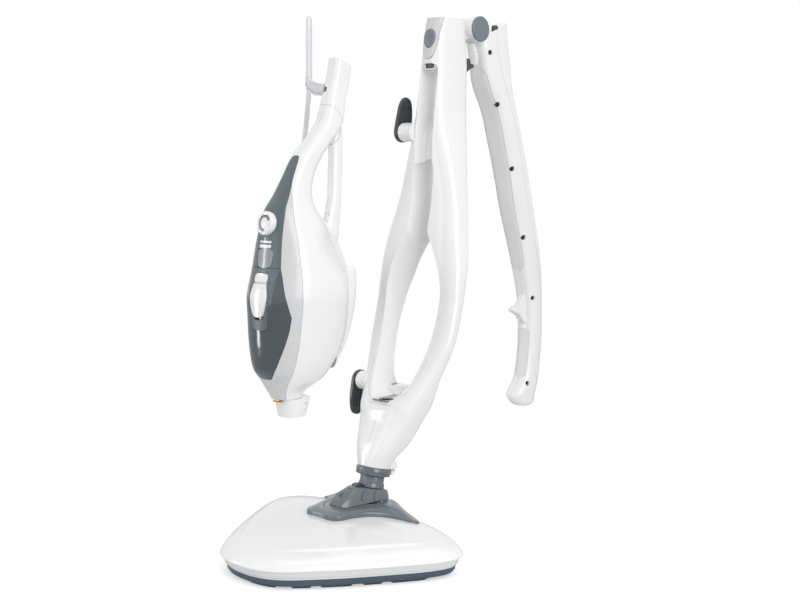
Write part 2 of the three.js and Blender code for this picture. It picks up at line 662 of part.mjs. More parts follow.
const handleBody = handleOuter
  .subtract(handleHollow)
  .subtract(rod('x', discRadius + 1, -hingeLugHalf - gap, hingeLugHalf + gap, hingeAt, { sides: 32 }))
  .subtract(joined(lugSweep))
  .subtract(rod('x', hingePin + gap, -60, 60, hingeAt))
  .subtract(screwWells);

// the outer cover takes the back of the handle, down to the grip
const coverLine = smooth([[205, down(-0.05)], [205, down(0.05)], [213, down(0.15)], [247, down(0.3)],
  [272, down(0.43)], [289, down(0.56)], [300, down(0.65)], [318, down(0.68)], [400, down(0.69)]], 16);
const behind = (shift) => prism('x', [...coverLine.map(([y, z]) => [y + shift, z + shift]),
  [400, down(-0.05)]], -60, 60);
piece(handle, 'handle_shell_right', largest(handleBody.subtract(behind(-gap / 2))
  .intersect(box(gap / 2, 60, 100, 400, 0, 900))), white);
piece(handle, 'handle_shell_left', largest(handleBody.subtract(behind(-gap / 2))
  .intersect(box(-60, -gap / 2, 100, 400, 0, 900))), white);
piece(handle, 'handle_cover', largest(handleBody.intersect(behind(gap / 2))), white);
handleScrews.forEach(([y, z], k) => {
  const face = between(handleRows, z)[2] - 4.6;
  piece(handle, `handle_screw_${k + 1}`, rod('x', 3, face, face + 2.4, [y, z], { sides: 12 })
    .add(rod('x', 1.4, -6, face + 0.5, [y, z], { sides: 8 })), steel);
});
piece(handle, 'hinge_pin', rod('x', hingePin, -cheekHalf, cheekHalf, hingeAt, { sides: 20 }), steel);
for (const [side, name] of [[1, 'hinge_disc_right'], [-1, 'hinge_disc_left']]) {
  const [near, far] = [cheekHalf + gap, cheekHalf + gap + discThick].map((x) => x * side);
  const disc = rod('x', discRadius, Math.min(near, far), Math.max(near, far), hingeAt, { sides: 36 });
  piece(handle, name, disc, grey);
}
const catchZ = down(0.09);
const catchFront = between(mastRows, catchZ)[1] + gap;
piece(mast, 'fold_catch', box(-6, 6, catchFront, 181, catchZ - 9, catchZ + 9), black);

// ---------------------------------------------------------------- hand unit, docked within its own group

const hand = new THREE.Group();
hand.position.y = -dockTravel;
mop.add(hand);

const bodyRows = [
  [up(0.054), 2, 36, 16, 2.3, 2.3, 18],
  [up(0.075), -3, 41, 20, 2.3, 2.3, 19],
  [up(0.104), -9, 61, 31, 2.3, 2.3, 26],
  [up(0.136), -17, 73, 39, 2.3, 2.3, 28],
  [up(0.197), -20, 88, 47, 2.3, 2.3, 34],
  [up(0.282), -21, 97, 51, 2.3, 2.2, 38],
  [up(0.342), -21, 99, 52, 2.3, 2.1, 39],
  [up(0.408), -14, 110, 49, 2.3, 1.45, 36],
  [up(0.49), -9, 97, 40, 2.3, 1.2, 31],
  [up(0.573), -3, 59, 26, 2.3, 2.2, 28],
  [up(0.617), 10, 52, 20, 2.3, 2.3, 31],
  [up(0.67), 23.5, 56.5, 16, 2.3, 2.3, 40],
  [up(0.721), 36, 68, 15.5, 2.3, 2.3, 52],
  [up(0.752), 49, 79, 15, 2.3, 2.3, 64],
  [up(0.794), 65, 95, 14.5, 2.3, 2.3, 80],
  [up(0.825), 73.5, 102, 14, 2.5, 2.5, 88],
  [up(0.881), 81, 106, 12, 3, 3, 93.5],
];
const strutRows = [
  [up(0.47), 76, 96, 8.5, 2.3, 2.3],
  [up(0.517), 76.5, 98.5, 8, 2.3, 2.3],
  [up(0.568), 82, 101, 7.6, 2.3, 2.3],
  [up(0.614), 86, 102.5, 7.5, 2.3, 2.3],
  [up(0.67), 87, 103.5, 7.5, 2.3, 2.3],
  [up(0.721), 88, 104.5, 7.5, 2.3, 2.3],
  [up(0.79), 88, 104, 8, 2.3, 2.3],
  [up(0.84), 88, 101, 8, 2.3, 2.3],
];
const handOuter = column(bodyRows).add(column(strutRows));
const inside = (inset) => (
  column(bodyRows, { inset }).add(column(strutRows, { inset: inset * 0.9, lift: 0 })));
const handInner = inside(handWall);
const handSkin = handOuter.subtract(handInner);
const panelDepth = 38;

const panelHalf = (grow) => mirrored([[0, up(0.252) - grow], [8 + grow, up(0.254) - grow],
  [12.5 + grow, up(0.269)], [18 + grow, up(0.306)], [20 + grow, up(0.356)], [25 + grow, up(0.415)],
  [22.3 + grow, up(0.49)], [19.2 + grow, up(0.573)], [12.5 + grow, up(0.67)], [9.5 + grow, up(0.706)],
  [5 + grow, up(0.72) + grow], [0, up(0.723) + grow]]);
const tankHalf = (grow) => mirrored([
  [0, up(0.112) - grow], [7 + grow, up(0.115) - grow], [17 + grow, up(0.15)],
  [27 + grow, up(0.205)], [34 + grow, up(0.25)], [37.5 + grow, up(0.289)], [35.5 + grow, up(0.33)],
  [30 + grow, up(0.38)], [25 + grow, up(0.418) + grow], [0, up(0.42) + grow]]);
const fasciaHalf = (grow) => mirrored([
  [0, up(0.074) - grow], [10 + grow, up(0.078)], [36 + grow, up(0.162)],
  [44 + grow, up(0.282)], [45 + grow, up(0.345)], [43 + grow, up(0.415)], [35 + grow, up(0.49)],
  [25 + grow, up(0.55)], [18 + grow, up(0.6)], [0, up(0.606) + grow]]);
const front = (outline, back = panelDepth) => prism('y', outline, -60, back);
const tankBack = 21;

// control panel with its dial, latch and lamps
const dialZ = up(0.54);
const dialFront = between(bodyRows, dialZ)[0];
const dialTilt = 10;
/** A rod on the dial's axis: depths are measured inwards from the panel's front. */
const dialRod = (radius, from, to, sides = 32) => (
  rod('y', radius, from, to, [0, 0], { sides }).rotate([-dialTilt, 0, 0]).translate([0, dialFront, dialZ]));
const latchShape = (grow) => mirrored([[0, up(0.287) - grow], [7 + grow, up(0.293)], [11 + grow, up(0.32)],
  [12 + grow, up(0.344)], [10.5 + grow, up(0.372)], [6.5 + grow, up(0.398)], [0, up(0.405) + grow]]);
const postSpots = [[-11, up(0.455)], [11, up(0.455)], [-8, up(0.6)], [8, up(0.6)]];
const boardFront = 6;
const panelPosts = joined(postSpots.map((spot) => (
  rod('y', 2.5, -40, boardFront - gap, spot, { sides: 10 }))));
const dialCup = dialRod(15.6, -1, 8.2).intersect(handOuter);
const panel = handSkin.intersect(front(panelHalf(0)))
  .add(panelPosts.intersect(handOuter).intersect(front(panelHalf(-1))))
  .add(dialCup.intersect(front(panelHalf(-0.5))))
  .subtract(dialRod(dialRadius - 0.5 + gap, -10, 5.4))
  .subtract(dialRod(3 + gap, -10, 20, 16))
  .subtract(front(latchShape(gap)));
const seamZ = up(0.42);
const latchTravel = 3;
const below = (z) => box(-60, 60, -60, 80, 200, z);
piece(hand, 'control_panel', largest(panel.subtract(below(seamZ + gap))), darkGrey);
piece(hand, 'tank_collar', largest(panel.intersect(below(seamZ))
  .subtract(front(latchShape(gap)).translate([0, 0, -latchTravel]))), darkGrey);
piece(hand, 'dial_knob', dialRod(dialRadius - 0.5, -1.2, 5.1), white);
piece(hand, 'dial_spindle', dialRod(3, 5.1 + gap, 16, 16), steel);
const overSkin = (out, into) => (
  column(bodyRows, { inset: -out, lift: 0 }).subtract(column(bodyRows, { inset: into })));
piece(hand, 'tank_latch', overSkin(1.4, 2).intersect(front(latchShape(0))), white);
const lampAt = (z, halfWide, high) => overSkin(0.7, -gap).intersect(front(mirrored([[0, z - high / 2],
  [halfWide, z - high / 2], [halfWide, z + high / 2], [0, z + high / 2]])));
piece(hand, 'level_window', lampAt(up(0.448), 10.5, 18), paleGrey);
piece(hand, 'circuit_board', box(-14, 14, boardFront, boardFront + 1.6, up(0.44), up(0.505))
  .add(box(-6, 6, boardFront + 1.6, boardFront + 8, up(0.45), up(0.48))), board);

// water tank behind and beside the panel
const tankBlock = handOuter.intersect(front(tankHalf(0), tankBack))
  .subtract(front(panelHalf(gap)).subtract(inside(handWall + gap)));
const tankInside = inside(2).intersect(front(tankHalf(-2), tankBack - 2))
  .subtract(front(panelHalf(gap + 2)).subtract(inside(handWall + gap + 2)));
const valveZ = up(0.15);
const valveBore = rod('y', 5 + gap, tankBack - 4, tankBack + 1, [0, valveZ], { sides: 16 });
piece(hand, 'water_tank', tankBlock.subtract(tankInside).subtract(valveBore), smoky);
piece(hand, 'tank_valve', rod('y', 5, tankBack - 6, tankBack + 6, [0, valveZ], { sides: 16 }), black);

// light fascia around both, then the white shells
const ribs = [[up(0.215), 46, 19], [up(0.3), 46, 19], [up(0.375), 46, 14]];
const ribPlates = joined(ribs.map(([z, y, radius]) => (
  handInner.intersect(box(-60, 60, tankBack + 3, 140, z - 1.5, z + 1.5))
    .subtract(rod('z', radius + gap, z - 3, z + 3, [0, y], { sides: 28 })))));
piece(hand, 'front_fascia', largest(handSkin.intersect(front(fasciaHalf(0)))
  .subtract(front(panelHalf(gap)))
  .subtract(front(tankHalf(gap)))), paleGrey);

const housingRows = [
  [up(0.1), 52, 66, 18, 4, 4, 56], [up(0.13), 52, 78, 22, 5, 5, 60], [up(0.2), 56, 96, 25, 5, 5, 66],
  [up(0.27), 60, 107, 26, 5, 5, 70], [up(0.33), 62, 112, 26, 5, 5, 74], [up(0.39), 62, 112.5, 23, 5, 5, 74],
  [up(0.41), 62, 110, 20, 5, 5, 74],
];
const housing = column(housingRows);
const housingPocket = column(housingRows, { inset: -gap });
const housingFront = box(-60, 60, 30, 76, 200, 400);
piece(hand, 'rear_housing', largest(housing.subtract(column(housingRows, { inset: handWall }))
  .subtract(housingFront)), white);
const nozzleBore = rod('z', 6 + gap, 150, up(0.1), [0, seatY], { sides: 20 });
const seamShells = handSkin
  .subtract(front(fasciaHalf(gap)))
  .subtract(front(panelHalf(gap)))
  .add(ribPlates)
  .subtract(housingPocket)
  .subtract(nozzleBore);
piece(hand, 'hand_shell_right', largest(seamShells.intersect(box(gap / 2, 90, -60, 160, 0, 900))), white);
piece(hand, 'hand_shell_left', largest(seamShells.intersect(box(-90, -gap / 2, -60, 160, 0, 900))), white);

// sleeve on top of the neck, cut to a slant
const sleeveRows = [[up(0.881) + gap, 81, 106, 11.5, 4, 4], [up(0.92), 86, 111, 11, 4, 4],
  [up(0.965), 91, 115, 11, 4, 4], [up(1) + 5, 94, 117, 10.5, 4, 4]];
const slant = prism('x', [[60, up(1) + 2.5], [92, up(1)], [117, up(0.971)], [140, up(0.955)],
  [140, up(1.2)], [60, up(1.2)]], -40, 40);
const reliefY = 88;
const reliefZ = up(0.908);
piece(hand, 'cord_sleeve', column(sleeveRows).subtract(slant)
  .subtract(column(sleeveRows, { inset: 2.2, lift: -3 }).subtract(slant.translate([0, 0, -2.4])))
  .subtract(rod('x', 4.9, -30, -2, [reliefY, reliefZ], { sides: 16 })), white);

// steam path inside: boiler, pump and the pipe down to the nozzle
piece(hand, 'boiler', rod('z', 19, up(0.17), up(0.325), [0, 46], { sides: 28 }), steel);
piece(hand, 'pump', rod('z', 14, up(0.35), up(0.415), [0, 46], { sides: 20 }), black);
piece(hand, 'nozzle_pipe', sweep([
  [0, seatY, seatZ + 4, pipeRadius], [0, seatY, up(0.1), pipeRadius], [0, 33, up(0.13), pipeRadius],
  [0, 40, up(0.155), pipeRadius], [0, 41, up(0.17) - 1, pipeRadius],
]), brass);
const stubRows = [[up(0), 12.5, 41.5, 14.5, 2.6, 2.6], [up(0.012), 11.5, 42.5, 15.5, 2.6, 2.6],
  [up(0.04), 9.5, 46, 17.5, 2.6, 2.6], [up(0.054) - gap, 9, 47, 18, 2.6, 2.6]];
const stubBore = rod('z', 6, 150, 260, [0, seatY], { sides: 20 });
piece(hand, 'nozzle_stub', column(stubRows).subtract(stubBore), white);
piece(hand, 'front_jet', box(-5, 5, 3, 8.5, up(0.054) - 3.4, up(0.054) - gap), brass);

// ---------------------------------------------------------------- mains lead, hung from the sleeve

const reliefEnd = [-37, reliefY, reliefZ + 17];
piece(hand, 'strain_relief', sweep([[-7.5, reliefY, reliefZ, 4.2], [-20, reliefY, reliefZ + 0.2, 4.8],
  [-31, reliefY, reliefZ + 4, 4.4], [-36.3, reliefY, reliefZ + 11, 3.9], [-37, reliefY, reliefZ + 14, 3.7],
  [...reliefEnd, 3.6]], { steps: 12 }), paleGrey);

const coilX = -88;
const coilY = -16 + dockTravel;
const coilZ = up(0.323);
const coilOut = coilRadius + coilDeep / 2;
const coilIn = coilRadius - coilDeep / 2;
const coilShape = [[coilIn, -1], [coilOut, -1], [coilOut, 1], [coilIn, 1], [coilIn, -1]];
const coilSection = coilShape.map(([radius, side]) => (
  new THREE.Vector2(radius, (side * coilAcross) / 2)));
const coil = new THREE.LatheGeometry(coilSection, 32);
coil.rotateZ(Math.PI / 2);
coil.translate(coilX, coilY, coilZ);

/** The lead's plain tube through its points. */
function lead(points, steps) {
  const places = points.map(([x, y, z]) => new THREE.Vector3(x, y, z));
  const extrudePath = new THREE.CatmullRomCurve3(places, false, 'centripetal');
  const shape = new THREE.Shape(Array.from({ length: 8 }, (_, k) => new THREE.Vector2(
    cordRadius * Math.cos((Math.PI * k) / 4), cordRadius * Math.sin((Math.PI * k) / 4))));
  return solidOf(new THREE.ExtrudeGeometry(shape, { steps, bevelEnabled: false, extrudePath }));
}
const archTop = up(1) + 51;
const leadPoints = [[-37, 88, reliefZ + 17.6], [-37, 88, up(0.96)], [-37.5, 88.5, up(1) + 6],
  [-41, 92, up(1) + 34], [-51, 101, up(1) + 48], [-61.5, 110.5, archTop], [-72, 120, up(1) + 47],
  [-81, 128, up(1) + 32], [-84.5, 131, up(1) + 6], [-85.5, 131, up(0.94)], [-86.5, 127, up(0.84)],
  [-87.3, 120, up(0.72)], [-88, 111, up(0.6)], [-88, 105, up(0.5)],
  [-88, coilY - coilRadius - 2, coilZ + 56], [-88, coilY - coilRadius, coilZ + 35.5]];
piece(hand, 'cord_lead', lead(leadPoints, 40), cordWhite);
piece(hand, 'cord_coil', coil, cordWhite);
const tieThick = 1.5;
const tieHalf = coilAcross / 2 + tieThick;
const tieBand = box(coilX - tieHalf, coilX + tieHalf, coilY - 5, coilY + 5,
  coilZ + coilIn - tieThick, coilZ + coilOut + tieThick);
const tieRoom = tube('x', coilOut + gap, coilIn - gap, coilX - coilAcross / 2 - gap,
  coilX + coilAcross / 2 + gap, [coilY, coilZ], 64);
piece(hand, 'cord_tie', tieBand.subtract(solidOf(coil)).subtract(tieRoom), black);

// the lead's far end leaves the coil straight down and carries the plug
const plugTop = coilZ - 34;
const tailY = coilY - coilOut - cordRadius - gap;
piece(hand, 'cord_tail', lead([[coilX, tailY, coilZ + 6], [coilX, tailY, coilZ - 10],
  [coilX, tailY, coilZ - 22], [coilX, tailY, plugTop + gap]], 8), cordWhite);
const plugBody = loft([[plugTop, 4.5, 4.5], [plugTop - 14, 5.5, 5.5], [plugTop - 20, 9, 11],
  [plugTop - 36, 10, 13]].map(([z, a, b]) => section(z, [-b, b, a, 3, 3, 0], 0, 16)));
const blades = joined([-6.3, 6.3].map((y) => box(-0.8, 0.8, y - 3, y + 3, plugTop - 52, plugTop - 35)));
piece(hand, 'plug', plugBody.add(blades).translate([coilX, tailY, 0]), white);

export default mop;
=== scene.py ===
# The looks of a steam mop: moulded shells, smoky tank, metal parts, mains lead, floor, light and camera.
# Lengths are in millimetres unless a name says metres.
import json
import math
import bmesh
import bpy
from mathutils import Matrix, Vector


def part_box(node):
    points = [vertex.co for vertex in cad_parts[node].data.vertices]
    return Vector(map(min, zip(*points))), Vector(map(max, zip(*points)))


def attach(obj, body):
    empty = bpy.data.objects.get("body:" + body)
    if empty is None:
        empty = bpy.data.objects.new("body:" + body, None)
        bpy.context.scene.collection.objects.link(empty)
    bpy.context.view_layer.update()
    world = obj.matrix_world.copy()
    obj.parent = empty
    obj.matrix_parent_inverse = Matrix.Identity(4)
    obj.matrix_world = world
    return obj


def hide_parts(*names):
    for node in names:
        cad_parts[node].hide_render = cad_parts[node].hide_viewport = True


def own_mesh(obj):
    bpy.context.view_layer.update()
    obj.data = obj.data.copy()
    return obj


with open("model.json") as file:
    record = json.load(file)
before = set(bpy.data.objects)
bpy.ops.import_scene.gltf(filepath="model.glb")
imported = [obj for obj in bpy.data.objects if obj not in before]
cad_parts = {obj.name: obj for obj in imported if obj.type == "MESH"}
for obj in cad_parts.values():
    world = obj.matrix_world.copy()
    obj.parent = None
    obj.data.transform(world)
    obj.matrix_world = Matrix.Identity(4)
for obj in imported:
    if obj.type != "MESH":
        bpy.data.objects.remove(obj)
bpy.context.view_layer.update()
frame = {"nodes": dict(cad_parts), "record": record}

MM = 0.001
GAP = 0.3  # the joint line between two mouldings

# ------------------------------------------------------------------ places taken from the frame


def joint(name):
    """A joint of the record by its name."""
    return next(j for j in frame["record"]["behaviour"]["joints"] if j["name"] == name)


def corner(node, which, axis):
    """One coordinate of a CAD node's box: which is 0 for its low side and 1 for its high side."""
    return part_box(node)[which][axis] / MM


DOCK = joint("dock")["range_m"][1] / MM  # how far the hand unit stands off its docked place
FOOT = corner("nozzle_stub", 0, 2)
HAND_LENGTH = 412  # from the hand unit's foot to its sleeve's mouth
MAST_TOP = corner("button_bezel", 1, 2)
HINGE_Y, HINGE_Z = (joint("handle_fold")["pos_m"][k] / MM for k in (1, 2))
PIVOT_Y, PIVOT_Z = (joint("neck_tilt")["pos_m"][k] / MM for k in (1, 2))
LEAN = math.asin(joint("neck_swivel")["axis"][1])
FOLD = joint("handle_fold")["range_deg"][1]
SEAT_Y, SEAT_Z = 27, FOOT - 1  # the middle of the seat, and its floor
HANDLE_DROP = 508  # how far the folded handle hangs below its hinge
PIN_HOLE = 4.3  # the radius of the holes that the hinge pin and the tilt pin turn in
STEAM_HOLE = 4.2  # the radius of the way for the steam through the neck


def up(share):
    """A height on the mast or the hand unit, as a share of the hand unit above its foot."""
    return FOOT + share * HAND_LENGTH


def down(share):
    """A height on the folded handle, as a share of its length below the hinge."""
    return HINGE_Z - share * HANDLE_DROP


def rows_at(place, rows, *ends):
    """Rows (share, value, ...) with the share made a height by place, and the same ends added to each."""
    return [(place(share), *values, *ends) for share, *values in rows]


def points_at(place, points):
    """Points (x or y, share) with the share made a height by place."""
    return [(u, place(share)) for u, share in points]


def along_neck(distance):
    """The (y, z) of a point on the neck's axis."""
    return PIVOT_Y + distance * math.sin(LEAN), PIVOT_Z + distance * math.cos(LEAN)


MAST_WALL, SLEEVE_WALL = 3, 2.2
WALL = 2.6  # of every other hollow moulding
GROOVE = 0.7  # how deep the fine grooves go
HINGE = (HINGE_Y, HINGE_Z)
LUG_HALF = 8  # half the width of the mast's lug in the handle's hinge
CHEEK_END = 19  # how far the hinge's cheeks reach out on both sides
HOOK_HOLE = 3.3  # the radius of the holes that the hook pins sit in
STEM_HOLE = 12.3  # the radius of the holes that the neck's tube sits in
COLLAR_TOP = 54.3  # where the mast begins, along the neck's axis

# ------------------------------------------------------------------ making solids


def new_object(name, data):
    obj = bpy.data.objects.new(name, data)
    bpy.context.scene.collection.objects.link(obj)
    return obj


def solid(name, points, faces):
    """A closed mesh from points in millimetres, its faces turned outwards."""
    mesh = bpy.data.meshes.new(name)
    mesh.from_pydata([(x * MM, y * MM, z * MM) for x, y, z in points], [], faces)
    shape = bmesh.new()
    shape.from_mesh(mesh)
    bmesh.ops.remove_doubles(shape, verts=shape.verts, dist=2e-6)
    bmesh.ops.recalc_face_normals(shape, faces=shape.faces)
    if shape.calc_volume(signed=True) < 0:
        bmesh.ops.reverse_faces(shape, faces=shape.faces)
    shape.to_mesh(mesh)
    shape.free()
    return new_object(name, mesh)


def loft(rings, name):
    """Joins rings of points, each with as many points, and closes both ends with fans."""
    count = len(rings[0])
    points = [p for ring in rings for p in ring]
    faces = []
    for i in range(len(rings) - 1):
        for k in range(count):
            a, b = i * count + k, i * count + (k + 1) % count
            faces.append((a, b, b + count, a + count))
    for start in (0, (len(rings) - 1) * count):
        ring = points[start:start + count]
        middle = len(points)
        points.append(tuple(sum(p[axis] for p in ring) / count for axis in range(3)))
        for k in range(count):
            faces.append((start + k, start + (k + 1) % count, middle))
    return solid(name, points, faces)


PLACES = {
    "x": lambda u, v, w: (w, u, v),
    "y": lambda u, v, w: (u, w, v),
    "z": lambda u, v, w: (u, v, w),
}


def prism(axis, outline, start, end, soft=0.0):
    """An outline of (u, v) pushed along an axis: x takes (y, z), y takes (x, z), z takes (x, y).
    soft chamfers its two end edges."""
    steps = [(start, 0.0), (end, 0.0)]
    if soft:
        steps = [(start, soft), (start + 0.3 * soft, 0.3 * soft), (start + soft, 0.0),
                 (end - soft, 0.0), (end - 0.3 * soft, 0.3 * soft), (end, soft)]
    mid_u, mid_v = (sum(p[k] for p in outline) / len(outline) for k in (0, 1))
    reach = max(math.dist(p, (mid_u, mid_v)) for p in outline)
    rings = []
    for w, inwards in steps:
        scale = 1 - inwards / reach
        rings.append([PLACES[axis](mid_u + (u - mid_u) * scale, mid_v + (v - mid_v) * scale, w)
                      for u, v in outline])
    if soft:
        return loft(rings, "prism")
    count = len(outline)
    faces = [tuple(range(count)), tuple(range(count, 2 * count))]
    faces += [(k, (k + 1) % count, count + (k + 1) % count, count + k) for k in range(count)]
    return solid("prism", rings[0] + rings[1], faces)


def box(x0, x1, y0, y1, z0, z1):
    return prism("z", [(x0, y0), (x1, y0), (x1, y1), (x0, y1)], z0, z1)


def oval(radius_u, radius_v, centre, sides=64):
    """Points round an ellipse."""
    return [(centre[0] + radius_u * math.cos(2 * math.pi * k / sides),
             centre[1] + radius_v * math.sin(2 * math.pi * k / sides)) for k in range(sides)]


def rounded(x0, x1, y0, y1, radius):
    """A rectangle's outline with rounded corners."""
    line = []
    for cx, cy, start in ((x1 - radius, y1 - radius, 0), (x0 + radius, y1 - radius, 90),
                          (x0 + radius, y0 + radius, 180), (x1 - radius, y0 + radius, 270)):
        turns = [math.radians(start + a) for a in range(0, 91, 15)]
        line += [(cx + radius * math.cos(a), cy + radius * math.sin(a)) for a in turns]
    return line


def lathe(axis, profile, centre=(0, 0), sides=64):
    """A solid turned about an axis from rows (place along the axis, radius)."""
    return loft([[PLACES[axis](u, v, w) for u, v in oval(max(r, 0.01), max(r, 0.01), centre, sides)]
                 for w, r in profile], "lathe")


def rod(axis, radius, start, end, centre=(0, 0), sides=64, soft=0.0):
    """A round bar; soft rounds off both of its end edges."""
    if not soft:
        return lathe(axis, [(start, radius), (end, radius)], centre, sides)
    curve = [(soft * (1 - math.cos(math.pi / 8 * k)), radius - soft * (1 - math.sin(math.pi / 8 * k)))
             for k in range(5)]
    rows = [(start + a, b) for a, b in curve] + [(end - a, b) for a, b in reversed(curve)]
    return lathe(axis, rows, centre, sides)


def spin(obj, degrees, axis):
    """Turns a mesh about an axis through the origin."""
    obj.data.transform(Matrix.Rotation(math.radians(degrees), 4, axis))
    return obj


def shift(obj, x=0.0, y=0.0, z=0.0):
    obj.data.transform(Matrix.Translation(Vector((x, y, z)) * MM))
    return obj


def on_neck(obj):
    """Places something made about the z axis onto the neck's axis."""
    return shift(spin(obj, -math.degrees(LEAN), "X"), 0, PIVOT_Y, PIVOT_Z)


def copy_of(obj):
    return new_object(obj.name + "_copy", obj.data.copy())


def drop(*objects):
    """Throws away objects with their meshes."""
    for obj in objects:
        mesh = obj.data
        bpy.data.objects.remove(obj)
        bpy.data.meshes.remove(mesh)


def applied(obj, modifier):
    """Makes what a modifier gives the object's own mesh."""
    graph = bpy.context.evaluated_depsgraph_get()
    mesh = bpy.data.meshes.new_from_object(obj.evaluated_get(graph))
    old = obj.data
    obj.modifiers.remove(modifier)
    obj.data = mesh
    bpy.data.meshes.remove(old)
    return obj


def boolean(way):
    """A function that works on an object with tools, one after another, and throws the tools away."""
    def work(obj, *tools):
        for tool in tools:
            step = obj.modifiers.new("step", "BOOLEAN")
            step.operation = way
            step.solver = "MANIFOLD"
            step.object = tool
            applied(obj, step)
            drop(tool)
        return obj
    return work


cut, join, within = boolean("DIFFERENCE"), boolean("UNION"), boolean("INTERSECT")


def largest(obj):
    """Keeps only the biggest loose part of a mesh."""
    shape = bmesh.new()
    shape.from_mesh(obj.data)
    left = set(shape.verts)
    parts = []
    while left:
        stack = [left.pop()]
        part = set(stack)
        while stack:
            for edge in stack.pop().link_edges:
                for vert in edge.verts:
                    if vert in left:
                        left.discard(vert)
                        part.add(vert)
                        stack.append(vert)
        parts.append(part)
    parts.sort(key=len)
    spare = [v for part in parts[:-1] for v in part]
    bmesh.ops.delete(shape, geom=spare, context="VERTS")
    shape.to_mesh(obj.data)
    shape.free()
    return obj


def between(rows, place):
    """The values between the rows of a table, each row (place, value, ...), by a smooth curve."""
    last = len(rows) - 2
    i = 0
    while i < last and rows[i + 1][0] <= place:
        i += 1
    a, b = rows[i], rows[i + 1]
    t = (place - a[0]) / (b[0] - a[0])
    values = []
    for column in range(1, len(a)):
        slopes = []
        for n in (i, i + 1):
            p, q = rows[max(n - 1, 0)], rows[min(n + 1, last + 1)]
            slopes.append((q[column] - p[column]) / (q[0] - p[0]) * (b[0] - a[0]))
        m, n = slopes
        change = b[column] - a[column]
        values.append(a[column] + t * (t * (t * (m + n - 2 * change) + 3 * change - 2 * m - n) + m))
    return values


def section(z, row, inset, sides):
    """One level section: a superellipse, with its own roundness in front and behind."""
    front, back, half, round_front, round_back = row[:5]
    middle = row[5] if len(row) > 5 else (front + back) / 2
    ring = []
    for k in range(sides):
        s, c = math.sin(2 * math.pi * k / sides), math.cos(2 * math.pi * k / sides)
        power = 2 / (round_front if c >= 0 else round_back)
        reach = (middle - front if c >= 0 else back - middle) - inset
        x = (half - inset) * math.copysign(abs(s) ** power, s)
        ring.append((x, middle - math.copysign(reach * abs(c) ** power, c), z))
    return ring


def column(rows, inset=0.0, lift=None, sides=96, step=3.0):
    """A body of level sections that follows rows (z, front, back, half width, round front, round back, and
    sometimes the middle), drawn in all round by inset and at both ends by lift."""
    lift = inset if lift is None else lift
    bottom, top = rows[0][0] + lift, rows[-1][0] - lift
    count = max(round((top - bottom) / step), 4)
    levels = [bottom + (top - bottom) * k / count for k in range(count + 1)]
    return loft([section(z, between(rows, z), inset, sides) for z in levels], "column")


def hollow(rows, inset):
    """The coarse inside of such a body."""
    return column(rows, inset, sides=28, step=12.0)


def skin(rows, outer, inner):
    """The layer of such a body between two depths under its surface."""
    return cut(column(rows, outer, 0, 96, 3), column(rows, inner, 0, 96, 3))


def smooth(points, steps, closed=False):
    """Points of a smooth curve through points, with steps between each two."""
    points = [Vector(p) for p in points]
    total = len(points)
    found = []
    for i in range(total if closed else total - 1):
        def at(n):
            if closed:
                return points[n % total]
            if n < 0:
                return 2 * points[0] - points[1]
            if n >= total:
                return 2 * points[-1] - points[-2]
            return points[n]
        p0, p1, p2, p3 = at(i - 1), at(i), at(i + 1), at(i + 2)
        d0, d1, d2 = (max((b - a).length_squared ** 0.25, 1e-4) for a, b in ((p0, p1), (p1, p2), (p2, p3)))
        m = ((p1 - p0) / d0 - (p2 - p0) / (d0 + d1) + (p2 - p1) / d1) * d1
        n = ((p2 - p1) / d1 - (p3 - p1) / (d1 + d2) + (p3 - p2) / d2) * d1
        square, cube = -3 * p1 + 3 * p2 - 2 * m - n, 2 * p1 - 2 * p2 + m + n
        for k in range(steps):
            t = k / steps
            found.append(tuple(p1 + t * (m + t * (square + t * cube))))
    if not closed:
        found.append(tuple(points[-1]))
    return found


def ease(t):
    """A smooth step from 0 to 1."""
    t = min(max(t, 0.0), 1.0)
    return t * t * (3 - 2 * t)


def mirrored(half):
    """A whole outline from its right half, bottom to top."""
    return list(half) + [(-x, z) for x, z in reversed(half) if x > 1e-6]


def sweep(points, radii, sides, steps):
    """A round bar along a smooth curve, its radius following the list of radii."""
    path = [Vector(p) for p in smooth(points, steps)]
    table = [(k / (len(radii) - 1), r) for k, r in enumerate(radii)]
    rings = []
    normal = None
    for i, at in enumerate(path):
        way = (path[min(i + 1, len(path) - 1)] - path[max(i - 1, 0)]).normalized()
        if normal is None:
            normal = way.orthogonal().normalized()
        normal = (normal - way * normal.dot(way)).normalized()
        side = way.cross(normal)
        radius = between(table, i / (len(path) - 1))[0]
        rings.append([tuple(at + radius * (math.cos(a) * normal + math.sin(a) * side))
                      for a in (2 * math.pi * k / sides for k in range(sides))])
    return loft(rings, "sweep")


# ------------------------------------------------------------------ repeats by geometry nodes


def add(tree, kind, values=(), links=(), **settings):
    """Adds a node with its settings, its input values and its links, both as (input, what) pairs."""
    node = tree.nodes.new(kind)
    for key, value in settings.items():
        setattr(node, key, value)
    for name, value in values:
        node.inputs[name].default_value = value
    for name, socket in links:
        tree.links.new(socket, node.inputs[name])
    return node


